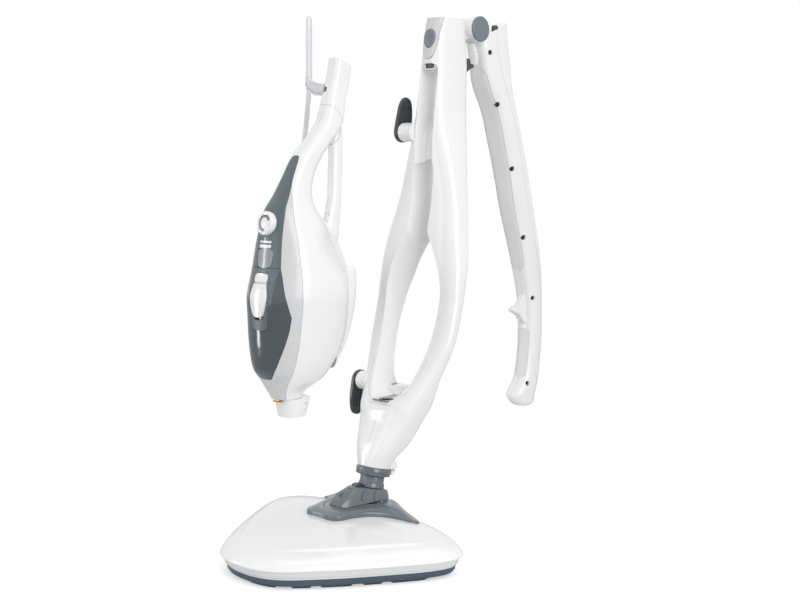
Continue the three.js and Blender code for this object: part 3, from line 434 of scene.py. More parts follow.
def repeat_group():
    """A node group that repeats an object: each copy goes one step further and turns once more."""
    group = bpy.data.node_groups.new("repeat", "GeometryNodeTree")
    ins = {}
    for name, kind in (("Source", "Object"), ("Count", "Int"), ("Step", "Vector"), ("Turn", "Vector"),
                       ("Material", "Material")):
        socket = group.interface.new_socket(name, in_out="INPUT", socket_type="NodeSocket" + kind)
        ins[name] = socket.identifier
    group.interface.new_socket("Geometry", in_out="OUTPUT", socket_type="NodeSocketGeometry")
    given = add(group, "NodeGroupInput").outputs
    index = add(group, "GeometryNodeInputIndex").outputs[0]
    source = add(group, "GeometryNodeObjectInfo", (), [("Object", given["Source"])],
                 transform_space="RELATIVE")
    place, turn = (add(group, "ShaderNodeVectorMath", (), [(0, given[name]), ("Scale", index)],
                       operation="SCALE") for name in ("Step", "Turn"))
    spots = add(group, "GeometryNodePoints", (), [("Count", given["Count"])])
    put = add(group, "GeometryNodeSetPosition", (),
              [("Geometry", spots.outputs[0]), ("Position", place.outputs[0])])
    copies = add(group, "GeometryNodeInstanceOnPoints", (),
                 [("Points", put.outputs[0]), ("Instance", source.outputs["Geometry"]),
                  ("Rotation", turn.outputs[0])])
    real = add(group, "GeometryNodeRealizeInstances", (), [(0, copies.outputs[0])])
    paint = add(group, "GeometryNodeSetMaterial", (),
                [("Geometry", real.outputs[0]), ("Material", given["Material"])])
    add(group, "NodeGroupOutput", (), [(0, paint.outputs[0])])
    return group, ins


REPEAT, REPEAT_INPUTS = repeat_group()


def repeated(source, count, step=(0, 0, 0), turn=(0, 0, 0)):
    """A mesh of count copies of source, each a step (in millimetres) and a turn (in degrees) further. The
    piece that it becomes part of gives it its material."""
    holder = new_object("repeated", bpy.data.meshes.new("repeated"))
    nodes = holder.modifiers.new("repeat", "NODES")
    nodes.node_group = REPEAT
    for name, value in (("Source", source), ("Count", count), ("Step", [v * MM for v in step]),
                        ("Turn", [math.radians(v) for v in turn])):
        nodes[REPEAT_INPUTS[name]] = value
    applied(holder, nodes)
    drop(source)
    return holder


# ------------------------------------------------------------------ surfaces


def colour(code):
    """An sRGB hex colour as linear values."""
    parts = [int(code[k:k + 2], 16) / 255 for k in (1, 3, 5)]
    return tuple(c / 12.92 if c <= 0.04045 else ((c + 0.055) / 1.055) ** 2.4 for c in parts) + (1.0,)


def surface(name, **values):
    """A new material with its node tree and Principled shader, whose inputs take the values."""
    material = bpy.data.materials.new(name)
    material.use_nodes = True
    bsdf = material.node_tree.nodes["Principled BSDF"]
    for key, value in values.items():
        bsdf.inputs[key.replace("_", " ")].default_value = value
    return material, material.node_tree, bsdf


def moulded(name, tint, shade, roughness, grain_mm, depth_mm, edge_mm=0.5, **values):
    """Moulded plastic: the melt's slow drift of colour, gloss that changes where it was handled, a mould
    grain drawn coarser than the real one so that it shows, and edges with the mould's small radius."""
    material, tree, bsdf = surface(name, **values)
    place = add(tree, "ShaderNodeTexCoord").outputs["Object"]
    melt = add(tree, "ShaderNodeTexNoise", [("Scale", 1000 / 90), ("Detail", 3.0)], [("Vector", place)])
    tone = add(tree, "ShaderNodeMix", [(6, colour(tint)), (7, colour(shade))],
               [(0, melt.outputs["Fac"])], data_type="RGBA")
    tree.links.new(tone.outputs[2], bsdf.inputs["Base Color"])
    touch = add(tree, "ShaderNodeTexNoise", [("Scale", 1000 / 38), ("Detail", 5.0)], [("Vector", place)])
    gloss = add(tree, "ShaderNodeMapRange",
                [(1, 0.3), (2, 0.7), (3, roughness * 0.88), (4, roughness * 1.15)],
                [(0, touch.outputs["Fac"])])
    tree.links.new(gloss.outputs[0], bsdf.inputs["Roughness"])
    grain = add(tree, "ShaderNodeTexNoise", [("Scale", 1000 / grain_mm), ("Detail", 2.0)],
                [("Vector", place)])
    edge = add(tree, "ShaderNodeBevel", [("Radius", edge_mm * MM)], samples=4)
    bump = add(tree, "ShaderNodeBump", [("Strength", 0.2), ("Distance", depth_mm * MM)],
               [("Height", grain.outputs["Fac"]), ("Normal", edge.outputs[0])])
    tree.links.new(bump.outputs[0], bsdf.inputs["Normal"])
    return material


def metal(name, tint, roughness, line_mm, stretch):
    """Turned or drawn metal: lines along the work that break up the highlight, drawn coarser than the real
    ones so that they show."""
    material, tree, bsdf = surface(name, Metallic=1.0, Base_Color=colour(tint))
    place = add(tree, "ShaderNodeTexCoord").outputs["Object"]
    drawn = add(tree, "ShaderNodeMapping", [("Scale", stretch)], [("Vector", place)])
    lines = add(tree, "ShaderNodeTexNoise", [("Scale", 1000 / line_mm), ("Detail", 3.0)],
                [("Vector", drawn.outputs[0])])
    gloss = add(tree, "ShaderNodeMapRange", [(1, 0.3), (2, 0.7), (3, roughness * 0.75), (4, roughness * 1.3)],
                [(0, lines.outputs["Fac"])])
    tree.links.new(gloss.outputs[0], bsdf.inputs["Roughness"])
    bump = add(tree, "ShaderNodeBump", [("Strength", 0.3), ("Distance", 0.01 * MM)],
               [("Height", lines.outputs["Fac"])])
    tree.links.new(bump.outputs[0], bsdf.inputs["Normal"])
    return material


# glossy ABS: near white, and the eye gets a soft clear reflection off it
WHITE = moulded("white_gloss_abs", "#f2f2f2", "#efefef", 0.2, 2.4, 0.004, Coat_Weight=0.3,
                Coat_Roughness=0.05)
# the same ABS tinted light grey, as the fascia and the bezel, a little duller
PALE = moulded("pale_grey_abs", "#d4d5d7", "#cecfd1", 0.27, 1.8, 0.006, Coat_Weight=0.1)
# the same ABS with an etched satin face, as the strips down the handle and the belt round the head; its
# slightly darker white is painted shade for these sunk faces
SHADED_SATIN = moulded("satin_white_abs", "#e6e7e7", "#e0e1e1", 0.38, 1.2, 0.01)
# mineral-filled polypropylene of the hinge discs and hook pins: satin grey, with a broad dull highlight
GREY = moulded("grey_polypropylene", "#737e85", "#6b757c", 0.3, 1.2, 0.02)
# the same on the saddle and neck, a shade darker and polished: the eye gets crisp light edges off its facets
NECK = moulded("polished_grey_polypropylene", "#667077", "#5f696f", 0.22, 1.4, 0.014, Coat_Weight=0.25,
               Coat_Roughness=0.06)
# slate ABS of the panel: dark, smooth, with a low sheen
SLATE = moulded("slate_abs_panel", "#5a676c", "#525f64", 0.34, 0.9, 0.012)
# tough nylon of the sole: blue-grey and matt, so that it reads as one dark line under the head
SOLE = moulded("slate_nylon_sole", "#4d5c6a", "#445361", 0.55, 1.6, 0.03)
# glass-filled nylon of the hooks and catches: almost black, faintly grainy, with a glint on its ribs
BLACK = moulded("black_glass_filled_nylon", "#363d42", "#2c3337", 0.28, 1.4, 0.02, Coat_Weight=0.3,
                Coat_Roughness=0.08)
# soft-touch elastomer of the release button: a dull lilac-grey that gives no clear reflection
BUTTON = moulded("grey_soft_touch_elastomer", "#858b94", "#7c828b", 0.58, 1.0, 0.02)
# PVC sheath of the mains lead: a greyish white with a waxy sheen along its length
LEAD = moulded("white_pvc_sheath", "#e1e4e8", "#d8dbe0", 0.42, 3.0, 0.01, edge_mm=0.1)
# woven hook-and-loop strap round the coil: black and without a highlight, its deep grain for the weave
STRAP = moulded("black_woven_strap", "#30353a", "#24282c", 0.8, 0.8, 0.12, edge_mm=0.2)
# silicone of the steam seals: a dull black that darkens the holes it lines
SEAL = moulded("black_silicone_seal", "#33373b", "#2b2f33", 0.65, 1.5, 0.02)
# glass-epoxy laminate of the board: a deep green under a thin lacquer
BOARD = moulded("green_board_laminate", "#2f6b45", "#2a6140", 0.4, 1.0, 0.01, edge_mm=0.1)
# translucent lens of the water-level lamps: cool lilac-grey
LENS = moulded("frosted_lens", "#8b8f99", "#828690", 0.3, 1.2, 0.004, edge_mm=0.2, Coat_Weight=0.5)
# zinc-plated steel of the pins, spring and boiler: a cool highlight, broken up by the drawing lines
STEEL = metal("zinc_plated_steel", "#b9bec4", 0.3, 1.2, (1.0, 1.0, 0.15))
# the handle's screws are blackened, so that they read as dark dots
DARK_STEEL = metal("blackened_steel", "#3b3f43", 0.4, 1.2, (1.0, 1.0, 0.15))
# turned brass of the jet, pipe and plug blades: a small warm glint
BRASS = metal("turned_brass", "#b88f4e", 0.32, 1.0, (1.0, 1.0, 0.2))


def tinted_tank():
    """Smoky polycarbonate: dark, glassy, and faintly see-through where the wall is thin."""
    material, tree, bsdf = surface("smoky_polycarbonate", IOR=1.5, Transmission_Weight=0.35,
                                   Base_Color=colour("#59656e"), Coat_Weight=0.3, Coat_Roughness=0.03)
    place = add(tree, "ShaderNodeTexCoord").outputs["Object"]
    film = add(tree, "ShaderNodeTexNoise", [("Scale", 1000 / 25), ("Detail", 4.0)], [("Vector", place)])
    gloss = add(tree, "ShaderNodeMapRange", [(1, 0.3), (2, 0.7), (3, 0.08), (4, 0.15)],
                [(0, film.outputs["Fac"])])
    tree.links.new(gloss.outputs[0], bsdf.inputs["Roughness"])
    return material


SMOKY = tinted_tank()
SHARP_FROM = math.radians(33)  # edges that turn by more than this stay crisp


def piece(name, obj, material, body, *nodes):
    """Finishes a piece: its name, material and edges, the body it rides on and the CAD nodes it replaces."""
    obj.name = obj.data.name = name
    obj.data.materials.clear()
    obj.data.materials.append(material)
    for face in obj.data.polygons:
        face.material_index = 0
    obj.data.shade_smooth()
    obj.data.set_sharp_from_angle(angle=SHARP_FROM)
    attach(obj, body)
    if nodes:
        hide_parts(*nodes)
    return obj


def split(whole, name, body, y=0.0):
    """Makes pieces of both halves of a white shell, parted down the middle and moved along y."""
    for side, x0, x1 in (("right", GAP / 2, 120), ("left", -120, -GAP / 2)):
        half = largest(within(copy_of(whole), box(x0, x1, -60, 400, 0, 900)))
        piece(name + "_half_" + side, shift(half, y=y), WHITE, body, name + "_shell_" + side)
    drop(whole)


def cross_slot(head, spot, start, end, reach, half, first):
    """Cuts a cross into a screw's head that faces along x, at a (y, z), its first bar turned by first."""
    for turn in (first, first + 90):
        cut(head, shift(spin(box(start, end, -reach, reach, -half, half), turn, "X"), 0, *spot))


# ------------------------------------------------------------------ camera, at the front right

AIM = math.radians(45)
DIP = math.radians(6.02)
look = Vector((-math.sin(AIM) * math.cos(DIP), math.cos(AIM) * math.cos(DIP), -math.sin(DIP)))
camera = new_object("camera", bpy.data.cameras.new("camera"))
camera.data.lens = 54
camera.data.sensor_width = 36
camera.location = Vector((1053.47, -1002.09, 460)) * MM
camera.rotation_euler = look.to_track_quat("-Z", "Y").to_euler()
bpy.context.scene.camera = camera

# ------------------------------------------------------------------ mast

MAST_FOOT = along_neck(COLLAR_TOP)[1] - 6
MAST_ROWS = [(MAST_FOOT, -13, 23.5, 18, 2.3, 2.3), (MAST_FOOT + 11, -12, 27, 21, 2.5, 2.5),
             (125, -6.3, 49.7, 29, 3.2, 3.2), (157, 8.4, 66.6, 41, 3.2, 3.2), (172, 13.3, 74, 47, 3.2, 3.2)]
MAST_ROWS += rows_at(up, [
    (0.058, 36, 76, 57), (0.165, 58, 88.5, 68.5), (0.286, 71, 102, 70), (0.34, 73, 108, 69.5),
    (0.413, 76, 115.5, 67.5), (0.488, 80, 123, 61), (0.592, 89, 132, 51), (0.706, 92, 143, 40.5),
    (0.806, 93, 153.5, 29), (0.881, 95.5, 157, 24), (1, 100.5, 160.5, 21)], 3.2, 3.2)
MAST_ROWS += [(MAST_TOP - 27, 104, 160.5, 18, 3.2, 3.2), (MAST_TOP, 109.5, 160, 15.5, 3.2, 3.2)]
# half the gap between the two arms, in front and behind, against the height
WINDOW_ROWS = [(SEAT_Z, 14, 14), (SEAT_Z + 1.5, 18, 18), (SEAT_Z + 5, 22.5, 22), (SEAT_Z + 11, 27.5, 27)]
WINDOW_ROWS += rows_at(up, [(0.058, 34.5, 31), (0.165, 43.5, 39), (0.286, 47, 37), (0.34, 46.6, 33),
                            (0.413, 38, 25), (0.488, 22.5, 9), (0.515, 17.4, 1)])


def window_ring(y, share, floor, grow, steps):
    """The window's outline at a depth, from the front gap (share 0) to the back one (share 1)."""
    side = []
    for k in range(steps + 1):
        z = SEAT_Z + (WINDOW_ROWS[-1][0] - SEAT_Z) * (k / steps) ** 1.5
        front, back = between(WINDOW_ROWS, z)
        side.append((front + (back - front) * share + grow, max(z, floor) - (grow if k == 0 else 0)))
    return [(x, y, z) for x, z in mirrored(side)]


def window(grow=0.0, steps=70):
    """The opening between the arms, its floor a step higher at the back."""
    rise, brink = 11, SEAT_Y + 23 + grow
    levels = [(-60, 0, 0), (brink, 0, 0)]
    levels += [(brink + 8 * t, 0, rise * ease(t)) for t in (0.2, 0.4, 0.6, 0.8, 1)]
    levels += [(72 + 40 * t, ease(t), rise) for t in (0, 0.15, 0.3, 0.45, 0.6, 0.75, 0.9, 1)]
    levels.append((180, 1, rise))
    return loft([window_ring(y, share, SEAT_Z + floor, grow, steps) for y, share, floor in levels], "window")


def window_prism(grow, y0, y1):
    """The window's front outline, grown and pushed from y0 to y1."""
    return prism("y", [(x, z) for x, _, z in window_ring(0, 0, SEAT_Z, grow, 70)], y0, y1)


def front_hollow(grow=0.0, sides=72, step=3.0):
    """The scoop down the front that takes the sleeve, and the channel under it for the grip's rear bar."""
    scoop = [(up(share) + ends, 30, back + grow, 15 + grow, 9, 3.4, middle) for share, ends, back, middle in (
        (0.7, -grow, 108, 88), (0.8, 0, 112, 88), (0.834, 0, 119.5, 90), (0.9, 0, 119.5, 90),
        (0.982, grow, 119.5, 90), (0.997, grow, 111, 84), (1.016, grow, 92, 70))]
    channel = [(up(share) + ends, 30, back + grow, (17.4 + grow) * part, 9, 3.6, 92)
               for share, ends, back, part in ((0.46, 0, 118, 1), (0.6, 0, 118, 1), (0.69, 0, 118, 1),
                                               (0.705, 0, 117, 0.86), (0.718, grow, 114, 0.42))]
    return join(column(scoop, 0, 0, sides, step), column(channel, 0, 0, sides, step))


BUTTON_Z = MAST_TOP - 26
UPPER_HOOK = {"y": 99, "z": up(0.802), "inner": 18, "outer": 41, "turn": -math.degrees(LEAN)}
LOWER_HOOK = {"y": 46, "z": SEAT_Z + 14, "inner": 46, "outer": 65, "turn": 180 - math.degrees(LEAN)}


def mast_body():
    """Both halves of the mast as one: arms round a window, scooped front, hook stubs and the hinge's lug."""
    body = column(MAST_ROWS)
    cut(body, window(), front_hollow())
    inside = hollow(MAST_ROWS, MAST_WALL)
    cut(inside, window(MAST_WALL, 24), front_hollow(MAST_WALL, 24, 12),
        box(-80, 80, -40, 200, 60, along_neck(62)[1]))
    cut(body, inside)
    lug = rod("x", 15, -LUG_HALF, LUG_HALF, HINGE, soft=1)
    join(body, join(lug, box(-LUG_HALF, LUG_HALF, 150, HINGE_Y, HINGE_Z - 13, HINGE_Z + 7)))
    for hook in (UPPER_HOOK, LOWER_HOOK):
        spot, outer, inner = (hook["y"], hook["z"]), -hook["outer"], -hook["inner"]
        join(body, lathe("x", [(outer, 10.8), (outer + 1.2, 12), (inner - 6, 12), (inner, 13)], spot))
        cut(body, rod("x", HOOK_HOLE, outer - 1, outer + 14, spot))
    cut(body, rod("x", PIN_HOLE, -40, 40, HINGE), on_neck(rod("z", STEM_HOLE, 30, 79)),
        on_neck(rod("z", 60, 0, COLLAR_TOP)), rod("z", 9.3, SEAT_Z - 30, SEAT_Z + 5, (0, SEAT_Y)))
    return body


BEZEL_LINE = smooth(points_at(up, [(0, 1.02), (6, 1.025), (10.5, 1.05)])
                    + [(12.6, MAST_TOP - 22), (13.3, MAST_TOP - 8)], 8)


def bezel_outline(shrink, top):
    """The bezel's outline, drawn in by a little."""
    half = [(max(x - shrink, 0), z + (shrink if x < 8 else 0)) for x, z in BEZEL_LINE]
    return mirrored(half + [(half[-1][0], top), (0, top)])


def catch_window(half, tall, radius):
    """A rounded rectangle round the catch's window under the top of the scoop, as seen from the front."""
    middle = up(1.0003)
    return rounded(-half, half, middle - tall, middle + tall, radius)


mast = mast_body()
# the catch's window under the top of the scoop, in a raised frame
join(mast, prism("y", catch_window(9.4, 4.6, 2.6), 104.4, 112, 0.4))
cut(mast, prism("y", catch_window(7.6, 3.1, 1.6), 100, 106))
# a groove round the window's foot, on the front face only
groove = cut(window_prism(5.6, -60, 200), window_prism(4.7, -61, 201),
             box(-100, 100, -70, 210, up(0.12), 500), column(MAST_ROWS, GROOVE, 0, 96, 3),
             box(-100, 100, 70, 210, 0, 500))
cut(mast, groove)
# a thin layer of dark slate let into the seat, painted shade for the seat's shadowed hollow
seat_region = box(-13.4, 13.4, 15.5, 66, 170, SEAT_Z + 12.6)
painted_shade_layer = within(cut(window(0.8), window(0.03)), seat_region)
cut(mast, copy_of(painted_shade_layer))
piece("seat_lining", cut(painted_shade_layer, rod("z", 9.6, SEAT_Z - 30, SEAT_Z + 5, (0, SEAT_Y))), SLATE, "mast")
cut(mast, prism("y", bezel_outline(0, MAST_TOP + 5), 60, 117),
    box(-8.3, 8.3, 106.5, 113.5, up(0.97), up(1.07)), rod("y", 12.8, 60, 126, (0, BUTTON_Z)))
largest(mast)
# a screw tab at the foot, behind the collar
tab_line = [(y, MAST_FOOT + z) for y, z in ((14, 6), (16, -2), (22, -5), (27, -1), (30, 9), (22, 14))]
foot_tab = prism("x", smooth(tab_line, 6, closed=True), 6, 17, 0.8)
join(mast, cut(foot_tab, rod("x", 1.7, 12, 30, (22.5, MAST_FOOT + 1), 24),
               on_neck(rod("z", 22.3, 0, COLLAR_TOP))))
split(mast, "mast", "mast")

bezel = column(MAST_ROWS, -1, 0, 96, 2)
cut(bezel, column(MAST_ROWS, 2, -5, 48, 6))
within(bezel, prism("y", bezel_outline(GAP, MAST_TOP), 60, 116.7))
piece("button_bezel_plate", cut(bezel, prism("y", oval(9.6, 12, (0, BUTTON_Z)), 60, 130)), PALE, "mast",
      "button_bezel")

# the release button, dished and with a small sunk icon
front_y = between(MAST_ROWS, BUTTON_Z)[0]
rows = [(121, 1)] + [(front_y - proud, share) for proud, share in (
    (0.5, 1), (1.2, 0.95), (1.5, 0.86), (1.55, 0.8), (1.0, 0.7), (0.7, 0.5), (0.65, 0.2))]
button = loft([[(x * share, y, BUTTON_Z + z * share) for x, z in oval(9.3, 11.7, (0, 0), 72)]
               for y, share in rows], "button")
cut(button, prism("y", rounded(-2.2, 2.2, BUTTON_Z - 3.4, BUTTON_Z + 3.4, 1.2), front_y - 5, front_y - 0.2))
piece("release_button_cap", button, BUTTON, "button", "release_button")
bolt_foot, bolt_top = up(0.995), up(1.045)
bolt = prism("x", [(106.8, bolt_foot), (113.2, bolt_foot + 2), (113.2, bolt_top), (106.8, bolt_top)],
             -8, 8, 0.4)
piece("sleeve_latch_bolt", bolt, BLACK, "bolt", "latch_bolt")
# the spring behind the button, with a mesh of its own
SPRING_FRONT, SPRING_BACK, SPRING_Z, COILS = 121.6, 149.4, 631, 7
helix = []
for k in range(169):
    turn, along = 2 * math.pi * COILS * k / 168, (SPRING_BACK - SPRING_FRONT - 1.6) * k / 168
    helix.append((3.7 * math.cos(turn), SPRING_FRONT + 0.8 + along, SPRING_Z + 3.7 * math.sin(turn)))
coil_spring = piece("button_return_spring", sweep(helix, [0.7, 0.7], 12, 1), STEEL, "mast", "button_spring")
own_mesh(coil_spring)
piece("sleeve_catch_plate", prism("y", catch_window(7.3, 2.8, 1.4), 104.9, 105.9, 0.2), BLACK, "mast")


def hook_plate(hook):
    """A hook's plate: a tapering blade, hollowed on both faces inside a rim, with ribs along it."""
    reach, radius, thick = 41, 13, 5
    turns = [math.pi + math.pi * k / 12 for k in range(13)]
    edge = [(radius * math.cos(a), radius * math.sin(a)) for a in turns]
    edge += [(12.4, reach * 0.45), (9.6, reach * 0.8), (5, reach + 1.5), (-1, reach + 4), (-7, reach + 2.5),
             (-11.4, reach * 0.85), (-12.8, reach * 0.45)]
    edge = smooth(edge, 5, closed=True)
    far = -hook["outer"] - thick - GAP
    plate = prism("x", edge, far, far + thick, 1.3)
    for face, deep in ((far - 5, far + 1.4), (far + thick - 1.2, far + thick + 5)):
        cut(plate, prism("x", [(y * 0.83, 3 + z * 0.86) for y, z in edge], face, deep))
    rib = prism("x", rounded(-9.6, -7.9, 12, reach - 5, 0.8), far + 0.2, far + thick - 0.2)
    join(plate, repeated(rib, 5, step=(0, 4.3, 0)))
    join(plate, rod("x", 8.5, far + 0.2, far + thick))
    within(plate, prism("x", edge, far, far + thick, 1.3))
    cut(plate, rod("x", HOOK_HOLE, far - 5, far + 12))
    return shift(spin(plate, hook["turn"], "X"), 0, hook["y"], hook["z"])


def hook_pin(hook):
    """The pin that holds a hook, with a domed cross head."""
    far = -hook["outer"] - 5 - 2 * GAP
    spot = (hook["y"], hook["z"])
    pin = lathe("x", [(far - 2, 3.5), (far - 1.8, 5), (far - 1.2, 6.1), (far - 0.4, 6.5), (far, 6.5),
                      (far, 3), (13 - hook["outer"], 3)], spot, 48)
    cross_slot(pin, spot, far - 3, far - 0.9, 3.2, 0.6, 20)
    return pin


for key, hook, body in (("upper", UPPER_HOOK, "cord_hook"), ("lower", LOWER_HOOK, "mast")):
    piece(key + "_hook_blade", hook_plate(hook), BLACK, body, key + "_hook")
    piece(key + "_hook_rivet", hook_pin(hook), GREY, body, key + "_hook_pin")

# ------------------------------------------------------------------ handle, folded down behind the mast

HANDLE_ROWS = rows_at(down, [
    (1, 291, 303, 5, 2.1, 2.1), (0.9975, 284, 308, 9, 2.2, 2.2), (0.991, 277, 311, 12, 2.4, 2.4),
    (0.98, 270.5, 313, 13.4, 2.5, 2.5), (0.967, 268, 314, 14, 3, 2.6)])
HANDLE_ROWS += rows_at(down, [
    (0.955, 272, 315, 14.5), (0.92, 286, 319, 14.3), (0.81, 295, 324.5, 14.5), (0.7, 292, 324, 15),
    (0.575, 275, 317, 17), (0.462, 256, 302, 18), (0.35, 241, 287, 19), (0.275, 229.5, 274.5, 19.5),
    (0.202, 217, 263, 19.5), (0.133, 198, 253, 19.5), (0.07, 190, 249, 19.3), (0.03, 186, 245, 19.2),
], 3.8, 2.8)
HANDLE_ROWS.append((HINGE_Z + 20, 186, 240, 19, 3.8, 2.8))
SCREWS = points_at(down, [(199, 0.055), (216, 0.185), (247, 0.35), (274, 0.533), (298, 0.7), (289, 0.934)])
SCREW_SUNK = 4.6  # how far the screws sit inside the handle's flank
COVER_LINE = smooth(points_at(down, [
    (213, -0.05), (213, 0.04), (221, 0.1), (239, 0.18), (260, 0.3), (278, 0.43), (299, 0.56), (312, 0.67),
    (315, 0.76), (310, 0.86), (306, 0.91), (313, 0.945), (340, 0.95)]), 8)
SPUR = smooth(points_at(down, [
    (296, 0.685), (303, 0.7), (303, 0.775), (293, 0.77), (280, 0.745), (270, 0.736), (267.5, 0.731),
    (269, 0.726), (279, 0.72)]), 6, closed=True)
STRIPS = ((0.085, 0.63), (0.785, 0.92))  # the sunk strips down the handle's front, as shares of its length
STRIP_MARGIN = 4.6  # from a strip's long edge to the handle's flank


def strip(start, end, inwards):
    """A sunk strip down the handle's front face: an outline seen from the front, kept to that face."""
    line = []
    for k in range(41):
        t = k / 40
        z = down(start + (end - start) * t)
        tip = math.sin(math.acos(max(1 - 14 * min(t, 1 - t), 0)))
        line.append((max((between(HANDLE_ROWS, z)[2] - STRIP_MARGIN - inwards) * tip, 0.5), z))
    face = [(between(HANDLE_ROWS, down(k / 40))[0] + 9, down(k / 40)) for k in range(2, 39)]
    flank = prism("x", [(100, face[0][1])] + face + [(100, face[-1][1])], -40, 40)
    return within(prism("y", mirrored(line), 100, 400), flank)


def about_hinge(obj, degrees):
    """Places something made about the x axis onto the hinge, turned by so many degrees."""
    return shift(spin(obj, degrees, "X"), 0, HINGE_Y, HINGE_Z)


def behind(move):
    """The space behind the line where the outer cover begins."""
    return prism("x", [(y + move, z + move) for y, z in COVER_LINE] + [(400, down(-0.05))], -60, 60)


def handle_body():
    """The handle as one: grip, finger spur and the two cheeks of the hinge."""
    body = column(HANDLE_ROWS, sides=80, step=1.5)
    join(body, prism("x", SPUR, -5.5, 5.5, 2))
    for before in (0, 12, 24, 36, 48):
        cut(body, about_hinge(box(-60, 60, -220, -15.3, -220, 10.4), before - FOLD))
    join(body, rod("x", 16, -CHEEK_END, CHEEK_END, HINGE, 96))
    inside = hollow(HANDLE_ROWS, WALL)
    cut(inside, box(-60, 60, 100, 400, down(0.045), HINGE_Z + 60))
    for spot in SCREWS:
        cut(inside, rod("x", 4.2, -40, 40, spot, 12))
    room = LUG_HALF + GAP
    cut(body, inside, rod("x", 17, -room, room, HINGE, 64))
    for turn in (0, -FOLD):
        cut(body, about_hinge(box(-room, room, -45, 0, -13.3, 8), turn))
    cut(body, rod("x", PIN_HOLE, -60, 60, HINGE))
    for y, z in SCREWS:
        half = between(HANDLE_ROWS, z)[2]
        cut(body, join(rod("x", 3.4, half - 5, 60, (y, z), 32), rod("x", 1.7, -8, 60, (y, z), 12)))
    for start, end in STRIPS:
        cut(body, cut(strip(start, end, 0), column(HANDLE_ROWS, 1.3, 0, 80, 2)))
    return body


handle = handle_body()
cover = within(copy_of(handle), behind(GAP / 2))
piece("handle_back_cover", largest(cover), WHITE, "handle", "handle_cover")
cut(handle, behind(-GAP / 2))
split(handle, "handle", "handle")
for k, (start, end) in enumerate(STRIPS):
    # each inlay's darker satin white is painted shade down the sunk strip
    inlay = cut(column(HANDLE_ROWS, 0.7, 0, 80, 2), column(HANDLE_ROWS, 1.4, 0, 80, 3))
    within(inlay, strip(start, end, 0.25))
    piece("handle_inlay_%d" % (k + 1), inlay, SHADED_SATIN, "handle")
# the fold release shows as two black tabs beside the mast's top
tab_line = [(203, 640), (203, 649), (204.4, 651), (211, 651.8), (213.6, 649.6), (213.6, 640)]
for name, x0, x1 in (("right", 16.1, 18.9), ("left", -18.9, -16.1)):
    piece("fold_release_tab_" + name, prism("x", tab_line, x0, x1, 0.5), BLACK, "handle")

for k, (y, z) in enumerate(SCREWS):
    face = between(HANDLE_ROWS, z)[2] - SCREW_SUNK
    screw = lathe("x", [(-6, 1.2), (-4, 1.4), (face, 1.4), (face, 3), (face + 1.6, 3), (face + 2.1, 2.6),
                        (face + 2.4, 1.6)], (y, z), 32)
    cross_slot(screw, (y, z), face + 1.3, face + 4, 1.8, 0.35, 25 * k)
    piece("handle_screw_head_%d" % (k + 1), screw, DARK_STEEL, "handle", "handle_screw_%d" % (k + 1))

for side, name in ((1, "right"), (-1, "left")):
    near, far = (side * v for v in (19.3, 21.8))
    rows = [(0, 15.2), (0.12, 16), (0.75, 16), (1, 15.1), (0.94, 14.5), (0.9, 13.6), (0.94, 6), (0.96, 0.2)]
    disc = lathe("x", [(near + (far - near) * t, r) for t, r in rows], HINGE, 96)
    piece("hinge_cap_" + name, disc, GREY, "handle", "hinge_disc_" + name)
pin = rod("x", 4, -CHEEK_END, CHEEK_END, HINGE, 48, 0.5)
piece("hinge_axle", pin, STEEL, "handle", "hinge_pin")

catch_z = down(0.09)
catch_y = between(MAST_ROWS, catch_z)[1] + GAP
catch = prism("x", [(catch_y + y, catch_z + z) for y, z in (
    (0, -9), (6, -9), (12, -5), (20, -2), (20, 2), (14, 3), (12, 9), (0, 9))], -6, 6, 0.8)
piece("fold_catch_hook", catch, BLACK, "mast", "fold_catch")

# ------------------------------------------------------------------ hand unit, made docked and then stood off

BODY_ROWS = rows_at(up, [
    (0.054, 2, 36, 16, 2.3, 2.3, 18), (0.075, -3, 41, 20, 2.3, 2.3, 19), (0.104, -9, 61, 31, 2.3, 2.3, 26),
    (0.136, -17, 73, 39, 2.3, 2.3, 28), (0.197, -20, 88, 47, 2.3, 2.3, 34),
    (0.282, -21, 97, 51, 2.3, 2.2, 38), (0.342, -21, 99, 52, 2.3, 2.1, 39),
    (0.408, -14, 110, 49, 2.3, 1.45, 36), (0.49, -9, 97, 40, 2.3, 1.2, 31),
    (0.573, -3, 59, 26, 2.3, 2.2, 28), (0.617, 10, 52, 20, 2.5, 2.4, 31), (0.67, 23.5, 56.5, 16, 3, 2.7, 40),
    (0.721, 36, 68, 15.5, 3.3, 3, 52), (0.752, 49, 79, 15, 3.3, 3, 64), (0.794, 65, 95, 14.5, 3.3, 3, 80),
    (0.825, 73.5, 102, 14, 3.3, 3.2, 88), (0.881, 81, 106, 12, 3.3, 3.3, 93.5)])
STRUT_ROWS = rows_at(up, [
    (0.47, 76, 96, 8.5), (0.517, 76.5, 98.5, 8), (0.568, 82, 101, 7.6), (0.614, 86, 102.5, 7.5),
    (0.67, 87, 103.5, 7.5), (0.721, 88, 104.5, 7.5), (0.79, 88, 104, 8), (0.84, 88, 101, 8)], 2.3, 2.3)
HOUSING_ROWS = rows_at(up, [
    (0.1, 52, 66, 18, 4, 4, 56), (0.13, 52, 78, 22, 5, 5, 60), (0.2, 56, 96, 25, 5, 5, 66),
    (0.27, 60, 107, 26, 5, 5, 70), (0.33, 62, 112, 26, 5, 5, 74), (0.395, 62, 112.5, 24, 5, 6, 74),
    (0.407, 62, 112, 22.6, 5, 6, 74), (0.411, 62, 110.5, 21, 5, 6, 74)])
SLEEVE_ROWS = rows_at(up, [(0.85, 78.4, 104.3, 12.6, 3.3, 3.3), (0.881, 81.3, 106.3, 12, 3.6, 3.6),
                           (0.92, 86, 111, 11, 4, 4), (0.965, 91, 115, 11, 4, 4)])
SLEEVE_ROWS.append((up(1) + 5, 94, 117, 10.5, 4, 4))
